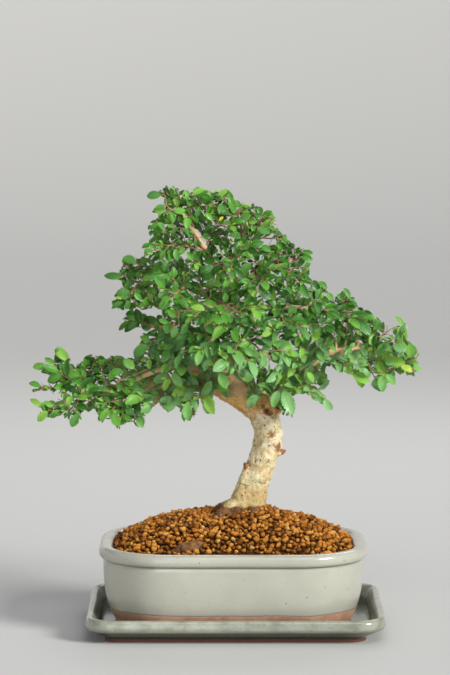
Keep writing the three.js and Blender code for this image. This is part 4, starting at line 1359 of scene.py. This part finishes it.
def cut(mesh, tool, operation):
    """The mesh joined to or cut by another."""
    other = new_object("tool", tool)
    made = with_modifier(mesh, "BOOLEAN", object=other, operation=operation, solver="EXACT")
    bpy.data.objects.remove(other)
    return made


def glaze_line(points):
    """Height at which the pot's glaze stops."""
    return GLAZE_LINE[0] + GLAZE_LINE[1] * noise_at(points * [1, 1, 0], 34.0, 2.2)


def curve(profile, count):
    """Insets and heights along the smooth curve through a profile."""
    return Path([(inset, z, 0) for inset, z in profile]).points(count)[:, :2]


def make_pot(materials):
    profile = [*curve(POT_OUTSIDE, 30), *curve(POT_RIM, 34), *POT_INSIDE]
    pot = Body()
    pot.add_tube([pot_ring(inset, z) for inset, z in profile])
    mesh = pot.mesh("pot_skin")
    feet = Body()
    half_x, half_y = FOOT_SIZE[0] / 2, FOOT_SIZE[1] / 2
    for right, far in ((-1, -1), (-1, 1), (1, -1), (1, 1)):
        rings = []
        for inset, z in FOOT_PROFILE:
            ring = rounded_ring(half_x - inset, half_y - inset, FOOT_CORNER - inset, z, 6, 2, 1)
            rings.append(ring + [POT_X + right * FOOT_AT[0], far * FOOT_AT[1], 0])
        feet.add_tube(rings)
    mesh = cut(mesh, feet.mesh("feet"), "UNION")
    holes = Body()
    for side in (-1, 1):
        centres = [(POT_X + side * DRAIN_X, 0, z) for z in (POT_BASE - 2, POT_FLOOR + 2)]
        holes.add_tube(tube_rings(centres, [DRAIN_RADIUS] * 2, 40))
    mesh = cut(mesh, holes.mesh("holes"), "DIFFERENCE")
    points, normals = read_skin(mesh)
    outward = points - [POT_X, 0, 0]
    outward[:, 2] = 0
    outward /= np.maximum(np.linalg.norm(outward, axis=1), 1e-6)[:, None]
    waves = THROWN_WAVES * noise_at(points * [1, 1, 2.2], 46.0, 8.8) * smooth_step(12, 26, points[:, 2])
    above = points[:, 2] - glaze_line(points)
    moved = points + outward * (waves - THROWN_WAVES)[:, None]
    moved = moved + normals * (GLAZE_THICKNESS * smooth_step(-0.5, 0.5, above))[:, None]
    write_points(mesh, moved * MM)
    put_values(mesh, np.outer(above, [1, 0, 0]))
    smooth(mesh)
    mesh.set_sharp_from_angle(angle=SHARP_FROM)
    show(mesh, "glazed_pot", materials, ["pot"])


def make_tray(materials):
    tray = Body()
    rings = []
    for inset, z in curve(TRAY_PROFILE, 64):
        corner = TRAY_CORNER - 0.6 * inset
        rings.append(rounded_ring(TRAY_HALF[0] - inset, TRAY_HALF[1] - inset, corner, max(z, 0), 12, 14, 10))
    tray.add_tube(rings)
    mesh = tray.mesh("tray_skin")
    points = read_points(mesh) / MM
    waves = TRAY_WAVES * noise_at(points * [1, 1, 1.5], 52.0, 4.1) * smooth_step(3.5, 12, points[:, 2])
    lifted = points.copy()
    lifted[:, :2] *= 1 + ((waves - 0.1) / 120)[:, None]
    lifted[:, 2] += 0.5 * (waves - 0.2) * smooth_step(12, 22, points[:, 2])
    write_points(mesh, lifted * MM)
    mesh.set_sharp_from_angle(angle=SHARP_FROM)
    show(mesh, "drip_tray", materials, ["tray"])


# Materials

# Pairs of colours that a pattern runs between
POT_GLAZE = [(0.46, 0.46, 0.39), (0.415, 0.415, 0.345)]
POT_CLAY = [(0.46, 0.24, 0.15), (0.6, 0.36, 0.24)]
TRAY_GLAZE = [(0.27, 0.28, 0.205), (0.17, 0.18, 0.12)]
TRAY_CLAY = [(0.1, 0.034, 0.017), (0.2, 0.078, 0.04)]
TAN_BARK = [(0.6, 0.3, 0.075), (0.9, 0.55, 0.19)]
CREAM_BARK = [(0.6, 0.45, 0.21), (0.85, 0.73, 0.47)]
EARTHY_BARK = [(0.05, 0.02, 0.006), (0.25, 0.115, 0.037)]
DEAD_WOOD_AND_SHADE = [(0.045, 0.02, 0.009), (0.32, 0.13, 0.05)]
PAINTED_SHEEN_LEAVES = [(0.06, 0.2, 0.055), (0.14, 0.31, 0.13)]
TWIG_BARK = [(0.3, 0.18, 0.08), (0.52, 0.34, 0.18)]
BLACK_PLASTIC = [(0.014, 0.015, 0.014), (0.03, 0.032, 0.03)]
# Colours of leaves from the darkest to a yellow one, and of grains of soil
LEAF_TONES = [
    (0.0, (0.01, 0.055, 0.004)),
    (0.28, (0.022, 0.134, 0.005)),
    (0.5, (0.058, 0.24, 0.014)),
    (0.75, (0.158, 0.395, 0.048)),
    (0.93, (0.27, 0.48, 0.06)),
    (1.0, (0.78, 0.64, 0.03)),
]
GRAIN_TONES = [
    (0.0, (0.07, 0.024, 0.008)),
    (0.1, (0.17, 0.053, 0.011)),
    (0.3, (0.36, 0.12, 0.017)),
    (0.62, (0.6, 0.225, 0.03)),
    (0.92, (0.72, 0.32, 0.06)),
    (1.0, (0.72, 0.38, 0.11)),
]
# Heights, in metres, between which a look sets in
RIM_CROWN = [0.0795, 0.0817]
GROOVE_FOOT = [0.0686, 0.0699]
GROOVE_TOP = [0.0717, 0.0706]
UNDER_LIP_SHADE = [0.0125, 0.0105]
LIP_FACE = [0.0125, 0.015]
LIP_CROWN = [0.0205, 0.0228]
TRAY_FOOT = [0.003, 0.0025]
FORK_PAINTED_LIGHT = [0.212, 0.226]
UPPER_LIMBS = [0.25, 0.31]
LOWER_TRUNK = [0.145, 0.122]
LOWER_CROWN_PAINTED_LIGHT = [0.29, 0.245]
# The same from left to right: past the long low branch
PAST_LOW_BRANCH = [-0.1, -0.07]


def grey(value):
    return (value, value, value)


class Look:
    """A material put together from nodes. Every method returns the output that it adds."""

    def __init__(self, name):
        self.material = bpy.data.materials.new(name)
        self.material.use_nodes = True
        self.tree = self.material.node_tree
        self.shader = self.tree.nodes["Principled BSDF"]

    def feed(self, socket, value):
        if isinstance(value, bpy.types.NodeSocket):
            self.tree.links.new(value, socket)
        else:
            socket.default_value = value

    def add(self, kind, output, inputs, **settings):
        node = self.tree.nodes.new("ShaderNode" + kind)
        for key, value in settings.items():
            setattr(node, key, value)
        for key, value in inputs.items():
            self.feed(node.inputs[key], value)
        return node.outputs[output]

    def set(self, **values):
        for key, value in values.items():
            self.feed(self.shader.inputs[key.replace("_", " ")], value)

    def place(self, stretch=(1, 1, 1)):
        """Where the surface is on the object, in metres, with each axis stretched."""
        at = self.add("TexCoord", "Object", {})
        return self.add("Mapping", "Vector", {"Vector": at, "Scale": stretch})

    def details(self):
        """The three values that each point of the mesh carries."""
        values = self.add("Attribute", "Vector", {}, attribute_name="detail")
        split = self.add("SeparateXYZ", 0, {"Vector": values}).node
        return split.outputs[0], split.outputs[1], split.outputs[2]

    def height(self, axis=2):
        return self.add("SeparateXYZ", axis, {"Vector": self.add("TexCoord", "Object", {})})

    def noise(self, at, size_mm, detail=3.0, rough=0.55):
        """Noise with lumps of about a size in millimetres, from 0 to 1."""
        inputs = {"Vector": at, "Scale": 1 / MM / size_mm, "Detail": detail, "Roughness": rough}
        return self.add("TexNoise", 0, inputs)

    def sum(self, operation, a, b=0.0, c=0.0):
        return self.add("Math", 0, {0: a, 1: b, 2: c}, operation=operation)

    def times(self, a, b):
        return self.sum("MULTIPLY", a, b)

    def uneven(self, value, pattern, reach):
        """A value that a pattern raises and lowers by half of a reach."""
        return self.sum("ADD", value, self.sum("MULTIPLY_ADD", pattern, reach, -reach / 2))

    def step(self, value, low, high, to=(0.0, 1.0)):
        """A smooth step of a value between two bounds."""
        inputs = {"Value": value, "From Min": low, "From Max": high, "To Min": to[0], "To Max": to[1]}
        return self.add("MapRange", 0, inputs, interpolation_type="SMOOTHSTEP")

    def mix(self, share, a, b):
        """One colour where a share is 0 and the other where it is 1."""
        a, b = (tuple(c) + (1,) if isinstance(c, (tuple, list)) else c for c in (a, b))
        return self.add("Mix", 2, {0: share, 6: a, 7: b}, data_type="RGBA")

    def cover(self, colour, share, amount, other):
        """The colour covered by another, to an amount where a share is 1."""
        return self.mix(self.times(share, amount), colour, other)

    def scale(self, colour, value):
        """The colour times a value."""
        return self.add("VectorMath", 0, {0: colour, "Scale": value}, operation="SCALE")

    def bump(self, height, millimetres, strength=1.0, over=None):
        inputs = {"Height": height, "Distance": millimetres * MM, "Strength": strength}
        if over is not None:
            inputs["Normal"] = over
        return self.add("Bump", 0, inputs)


def glaze_colour(look, at, light, dark):
    """The glaze's own colour, a little uneven, and the fine mottle in it."""
    mottle = look.noise(at, 6, 5, 0.65)
    colour = look.mix(look.step(look.noise(at, 42), 0.3, 0.7), light, dark)
    pale = [1.1 * c for c in light]
    return look.cover(colour, look.step(mottle, 0.5, 0.75), 0.2, pale), mottle


def speckled(look, at, colour, size_mm, radius, share, tint):
    """The colour with small round specks in a share of the cells of a net, and where they are."""
    cells = look.add("TexVoronoi", "Distance", {"Vector": at, "Scale": 1 / MM / size_mm})
    kind = look.add("SeparateXYZ", 0, {"Vector": cells.node.outputs["Color"]})
    there = look.sum("LESS_THAN", kind, share)
    spot = look.times(look.step(cells, radius, radius * 0.45), there)
    return look.mix(spot, colour, tint), spot


def pot_material():
    look = Look("pot_glaze")
    at = look.place()
    z = look.height()
    colour, mottle = glaze_colour(look, at, *POT_GLAZE)
    line, _, _ = look.details()
    colour, specks = speckled(look, at, colour, 9, 0.085, 0.55, (0.07, 0.05, 0.035))
    colour, finer = speckled(look, at, colour, 3.6, 0.13, 0.3, (0.17, 0.14, 0.1))
    # The glaze runs thin and brown over the rim's crown, and painted shade darkens the groove under it
    rim = look.times(look.step(z, *RIM_CROWN), look.step(look.noise(at, 9, 4), 0.42, 0.62))
    colour = look.cover(colour, rim, 0.4, (0.36, 0.31, 0.24))
    groove_shade = look.times(look.step(z, *GROOVE_FOOT), look.step(z, *GROOVE_TOP))
    colour = look.cover(colour, groove_shade, 0.75, (0.17, 0.15, 0.11))
    # Bare clay below the glaze line, with a dark edge where the glaze ends
    ragged = look.uneven(line, look.noise(at, 5, 4), 1.6)
    glazed = look.step(ragged, -0.25, 0.2)
    edge = look.times(look.step(ragged, -0.3, 0.3), look.step(ragged, 2.0, 0.6))
    grit = look.noise(at, 1.6, 4, 0.7)
    clay = look.mix(look.step(look.noise(at, 14), 0.35, 0.65), *POT_CLAY)
    clay = look.cover(clay, grit, 0.3, (0.36, 0.19, 0.12))
    colour = look.cover(colour, edge, 0.7, (0.26, 0.14, 0.09))
    colour = look.mix(glazed, clay, colour)
    roughness = look.mix(glazed, grey(0.85), look.mix(mottle, grey(0.14), grey(0.27)))
    pits = look.sum("SUBTRACT", look.times(mottle, 0.35), look.sum("ADD", specks, finer))
    soft = look.bump(pits, 0.05, 0.4)
    gritty = look.times(grit, look.sum("SUBTRACT", 1.0, glazed))
    look.set(Base_Color=colour, Roughness=roughness, Normal=look.bump(gritty, 0.35, 1.0, soft))
    look.set(Coat_Weight=0.4, Coat_Roughness=0.08, Specular_IOR_Level=0.5)
    return look.material


def tray_material():
    look = Look("tray_glaze")
    at = look.place()
    z = look.height()
    colour, mottle = glaze_colour(look, at, *TRAY_GLAZE)
    colour, specks = speckled(look, at, colour, 6, 0.08, 0.5, (0.06, 0.05, 0.035))
    # Painted shade under the lip and over the floor, and paler glaze on the lip's face
    colour = look.cover(colour, look.step(z, *UNDER_LIP_SHADE), 0.9, (0.016, 0.022, 0.011))
    face = look.times(look.step(z, *LIP_FACE), look.step(look.noise(at, 16, 4), 0.3, 0.6))
    colour = look.cover(colour, face, 0.5, (0.44, 0.47, 0.41))
    # Thin brown glaze on the lip's crown, and dark crackle all over
    worn = look.times(look.step(z, *LIP_CROWN), look.step(look.noise(at, 11, 5, 0.7), 0.44, 0.6))
    colour = look.cover(colour, worn, 0.6, (0.34, 0.26, 0.18))
    crackle = look.step(look.noise(look.place((1, 1, 2)), 4, 6, 0.75), 0.52, 0.66)
    colour = look.cover(colour, crackle, 0.45, (0.13, 0.14, 0.1))
    bare = look.step(look.uneven(z, look.noise(at, 9), 0.0012), *TRAY_FOOT)
    clay = look.mix(look.noise(at, 1.6, 4, 0.7), *TRAY_CLAY)
    colour = look.mix(bare, colour, clay)
    roughness = look.mix(bare, look.mix(mottle, grey(0.12), grey(0.26)), grey(0.85))
    height = look.sum("SUBTRACT", look.times(mottle, 0.5), specks)
    look.set(Base_Color=colour, Roughness=roughness, Normal=look.bump(height, 0.05, 0.4))
    look.set(Coat_Weight=0.4, Coat_Roughness=0.08)
    return look.material


def bark_material():
    look = Look("bark")
    at = look.place()
    z = look.height()
    pale, scar_and_shade, stained = look.details()
    broad = look.noise(at, 18, 4)
    patch = look.noise(look.place((1, 1, 0.8)), 7, 5, 0.62)
    fleck = look.noise(look.place((1, 1, 1.7)), 2.4, 6, 0.75)
    fine = look.noise(look.place((1, 1, 1.5)), 0.9, 4, 0.7)
    # Orange-tan bark, with painted light at the fork, and greyer on the limbs above it
    tan = look.mix(look.step(patch, 0.38, 0.62), *TAN_BARK)
    tan = look.cover(tan, look.step(fleck, 0.54, 0.66), 0.7, (0.22, 0.11, 0.045))
    tan = look.cover(tan, look.step(fine, 0.55, 0.7), 0.5, (0.7, 0.5, 0.3))
    # Painted light brightens the tan at the fork, where the crown shades it
    tan = look.mix(look.step(z, *FORK_PAINTED_LIGHT, (0.0, 0.6)), tan, (0.97, 0.68, 0.4))
    tan = look.mix(look.step(z, *UPPER_LIMBS, (0.0, 0.65)), tan, (0.5, 0.35, 0.22))
    # Cream bark of the lower trunk, with lichen, brown flecks and thin round plates
    cream = look.mix(look.step(patch, 0.36, 0.56), *CREAM_BARK)
    cream = look.mix(look.step(broad, 0.5, 0.64), cream, (0.9, 0.82, 0.63))
    low = look.times(look.step(z, *LOWER_TRUNK), look.step(patch, 0.25, 0.55))
    cream = look.cover(cream, low, 0.85, (0.46, 0.3, 0.1))
    lichen = look.times(look.step(look.noise(at, 12, 5, 0.6), 0.48, 0.6), look.step(fleck, 0.36, 0.56))
    cream = look.cover(cream, lichen, 0.6, (0.44, 0.42, 0.17))
    cream = look.cover(cream, look.step(fleck, 0.59, 0.67), 0.8, (0.3, 0.15, 0.06))
    cream = look.cover(cream, look.step(fine, 0.62, 0.72), 0.6, (0.34, 0.22, 0.1))
    cream, _ = speckled(look, at, cream, 4.4, 0.3, 0.45, (0.27, 0.13, 0.05))
    cream, _ = speckled(look, at, cream, 2.3, 0.33, 0.45, (0.34, 0.23, 0.11))
    colour = look.mix(look.step(look.uneven(pale, patch, 0.7), 0.08, 0.92), tan, cream)
    colour = look.mix(look.step(stained, -0.25, -0.8, (0.0, 0.8)), colour, (0.2, 0.19, 0.06))
    # Bark that the soil has stained, and dead wood in scars, darkest at their middles, partly painted shade
    # in the hollows
    earth = look.mix(look.step(patch, 0.35, 0.65), *EARTHY_BARK)
    earth = look.cover(earth, look.step(fleck, 0.52, 0.66), 0.7, (0.44, 0.22, 0.075))
    colour = look.mix(look.step(look.uneven(stained, fleck, 1.0), 0.3, 0.8), colour, earth)
    dead_wood_and_shade = look.mix(look.step(fleck, 0.46, 0.66), *DEAD_WOOD_AND_SHADE)
    dead_wood_and_shade = look.mix(look.step(scar_and_shade, 0.8, 0.95), (0.32, 0.135, 0.055), dead_wood_and_shade)
    colour = look.mix(look.step(look.uneven(scar_and_shade, fleck, 2.0), 0.3, 0.62), colour, dead_wood_and_shade)
    height = look.sum("ADD", look.times(fleck, 0.7), fine)
    normal = look.bump(height, 0.6, 0.9, look.bump(patch, 0.8, 0.6))
    look.set(Base_Color=colour, Roughness=look.step(patch, 0.2, 0.8, (0.72, 0.9)), Normal=normal)
    return look.material


def toned(look, tone, tones):
    """The colour at a tone between the colours given for some tones."""
    node = look.add("ValToRGB", 0, {"Fac": tone}).node
    ramp = node.color_ramp
    while len(ramp.elements) < len(tones):
        ramp.elements.new(0.5)
    for element, (at, colour) in zip(ramp.elements, tones):
        element.position = at
        element.color = colour + (1,)
    return node.outputs[0]


def leaf_material(name, is_under):
    look = Look(name)
    t, s, tone = look.details()
    at = look.place()
    side = look.sum("ABSOLUTE", s)
    blotch = look.noise(at, 5, 3)
    tone = look.uneven(tone, blotch, 0.16)
    colour = toned(look, tone, LEAF_TONES)
    # Patches of painted sheen make some leaves cooler and greyer, paler low in the crown's middle and right,
    # where painted light also makes the leaves lighter
    low = look.times(look.step(look.height(), *LOWER_CROWN_PAINTED_LIGHT), look.step(look.height(0), *PAST_LOW_BRANCH))
    painted_sheen = look.sum("ADD", look.noise(at, 17, 2), look.times(low, 0.06))
    painted_sheen = look.times(look.step(painted_sheen, 0.48, 0.58), look.step(tone, 0.8, 0.6))
    colour = look.cover(colour, painted_sheen, 0.65, look.mix(low, *PAINTED_SHEEN_LEAVES))
    # Painted light lifts the low leaves of the crown's middle and right
    lifted = look.times(low, look.step(tone, 0.8, 0.55))
    colour = look.scale(colour, look.sum("MULTIPLY_ADD", lifted, 0.55, 1.0))
    colour = look.cover(colour, lifted, 0.34, (0.24, 0.38, 0.18))
    # Side veins run forward from the midrib to the teeth
    phase = look.times(look.sum("SUBTRACT", t, look.times(side, 0.2)), 9.0)
    ripple = look.sum("ABSOLUTE", look.sum("SUBTRACT", look.sum("FRACT", phase), 0.5))
    vein = look.step(ripple, 0.11, 0.02)
    rib = look.step(side, 0.085, 0.03)
    lines = look.sum("MAXIMUM", look.times(vein, 0.5), rib)
    if is_under:
        colour = look.mix(0.42, colour, (0.2, 0.33, 0.12))
        colour = look.cover(colour, lines, 0.5, (0.32, 0.44, 0.16))
        relief, gloss = look.times(lines, 1.0), (0.55, 0.62)
    else:
        colour = look.cover(colour, lines, 0.4, (0.24, 0.42, 0.1))
        # A pale margin along the teeth is a painted highlight on the leaf's edge
        colour = look.mix(look.step(side, 0.78, 1.06, (0.0, 0.6)), colour, (0.3, 0.46, 0.1))
        relief, gloss = look.times(lines, -1.0), (0.3, 0.44)
    look.set(Base_Color=colour, Roughness=look.step(blotch, 0.3, 0.7, gloss))
    look.set(Normal=look.bump(relief, 0.25, 0.7), Specular_IOR_Level=0.32)
    return look.material


def twig_material():
    look = Look("twig")
    along, _, tone = look.details()
    rough = look.noise(look.place(), 1.8, 4)
    colour = look.mix(tone, *TWIG_BARK)
    colour = look.cover(colour, along, 0.6, (0.32, 0.24, 0.08))
    colour = look.cover(colour, rough, 0.4, (0.16, 0.075, 0.035))
    look.set(Base_Color=colour, Roughness=0.7, Normal=look.bump(rough, 0.2, 0.6))
    return look.material


def soil_material():
    look = Look("baked_clay")
    kind, _, light = look.details()
    colour = toned(look, kind, GRAIN_TONES)
    crumbs = look.noise(look.place(), 1.5, 6, 0.8)
    colour = look.cover(colour, look.step(crumbs, 0.46, 0.66), 0.5, (0.68, 0.33, 0.07))
    colour = look.cover(colour, look.step(crumbs, 0.47, 0.34), 0.8, (0.11, 0.034, 0.008))
    # Painted shade: the third value darkens grains towards their undersides, the grains under the others and
    # the bed
    colour = look.scale(colour, look.sum("MULTIPLY_ADD", light, 0.85, 0.15))
    look.set(Base_Color=colour, Roughness=0.95, Normal=look.bump(crumbs, 1.0, 1.0))
    look.set(Specular_IOR_Level=0.12)
    return look.material


def plastic_material():
    look = Look("screen_plastic")
    grain = look.noise(look.place(), 0.8, 3)
    look.set(Base_Color=look.mix(grain, *BLACK_PLASTIC), Roughness=0.55)
    look.set(Normal=look.bump(grain, 0.05, 0.5))
    return look.material


def floor_material():
    look = Look("floor")
    look.set(Base_Color=(0.6, 0.6, 0.592, 1), Roughness=0.9)
    return look.material


# Stage: a plain pale floor that turns up into a backdrop, soft lights and the photograph's camera

# The floor is flat out to the first radius and curves up from there to a low wall at the second, in metres
FLOOR_RADII = [4, 9.5]
WALL_TOP = 3.2
FLOOR_SIDES = 96
FLOOR_INNER = 0.5
FLOOR_TURNS = 32
# A hair under the tray's underside, so that the two don't share a plane
FLOOR_DROP = 0.0002
WORLD_TINT = (0.95, 0.965, 1, 1)
WORLD_STRENGTH = 0.26
KEY_AT = (1.45, -1.15, 0.85)
KEY_WIDTH = math.radians(20)
LIGHTS_AIM = (0, 0, 0.2)
# Soft lights: name, place, width and height, power in watts and tint
SOFT_LIGHTS = [
    ("fill", (-0.55, -2.2, 0.35), (1.1, 0.9), 8.5, (0.98, 0.985, 1)),
    ("rim", (0.3, 1.4, 1.2), (1.2, 0.5), 6, (1, 1, 1)),
    ("window", (0.3, -1.5, 1.7), (1.4, 0.7), 11, (0.98, 0.99, 1)),
]


def make_floor():
    flat, wide = FLOOR_RADII
    bend = wide - flat
    rings = [(FLOOR_INNER, 0), (flat, 0)]
    turns = np.linspace(0, math.pi / 2, FLOOR_TURNS + 1)[1:]
    rings += [(flat + bend * math.sin(a), WALL_TOP * (1 - math.cos(a))) for a in turns]
    angles = np.arange(FLOOR_SIDES) / FLOOR_SIDES * 2 * np.pi
    points = [(r * math.cos(a), r * math.sin(a), z - FLOOR_DROP) for r, z in rings for a in angles]
    faces = [tuple(range(FLOOR_SIDES))]
    for ring in range(len(rings) - 1):
        for side in range(FLOOR_SIDES):
            a, b = ring * FLOOR_SIDES + side, ring * FLOOR_SIDES + (side + 1) % FLOOR_SIDES
            faces.append((a, a + FLOOR_SIDES, b + FLOOR_SIDES, b))
    mesh = bpy.data.meshes.new("floor")
    mesh.from_pydata(points, [], faces)
    smooth(mesh)
    mesh.materials.append(floor_material())
    new_object("floor", mesh)


def make_light(name, kind, at, aim, power, tint, **settings):
    """A light that is aimed at a point. A sun's angle is how wide it is in the sky."""
    data = bpy.data.lights.new(name, kind)
    data.energy = power
    data.color = tint
    for key, value in settings.items():
        setattr(data, key, value)
    lamp = new_object(name, data)
    lamp.location = at
    lamp.rotation_euler = (Vector(aim) - Vector(at)).to_track_quat("-Z", "Y").to_euler()


def make_lights_and_camera():
    make_light("key", "SUN", KEY_AT, (0, 0, 0), 3.8, (1, 0.985, 0.95), angle=KEY_WIDTH)
    for name, at, size, power, tint in SOFT_LIGHTS:
        wide, tall = size
        make_light(name, "AREA", at, LIGHTS_AIM, power, tint, shape="RECTANGLE", size=wide, size_y=tall)
    world = bpy.data.worlds.new("studio")
    bpy.context.scene.world = world
    world.use_nodes = True
    colour, strength = world.node_tree.nodes["Background"].inputs[:2]
    colour.default_value = WORLD_TINT
    strength.default_value = WORLD_STRENGTH
    data = bpy.data.cameras.new("camera")
    data.lens = CAMERA_LENS
    data.sensor_width = SENSOR
    camera = new_object("camera", data)
    camera.location = CAMERA_AT
    camera.rotation_euler = (math.radians(90 - CAMERA_PITCH), 0, 0)
    bpy.context.scene.camera = camera
    bpy.context.scene.view_settings.view_transform = "Standard"


wood = make_wood(bark_material())
make_sprays([leaf_material("leaf", False), leaf_material("leaf_under", True), twig_material()])
make_soil([soil_material()], wood)
make_pot([pot_material()])
make_tray([tray_material()])
plastic = plastic_material()
for screen in ("drain_screen_left", "drain_screen_right"):
    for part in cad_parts[screen].material_slots:
        part.material = plastic
make_floor()
make_lights_and_camera()

bpy.context.view_layer.update()
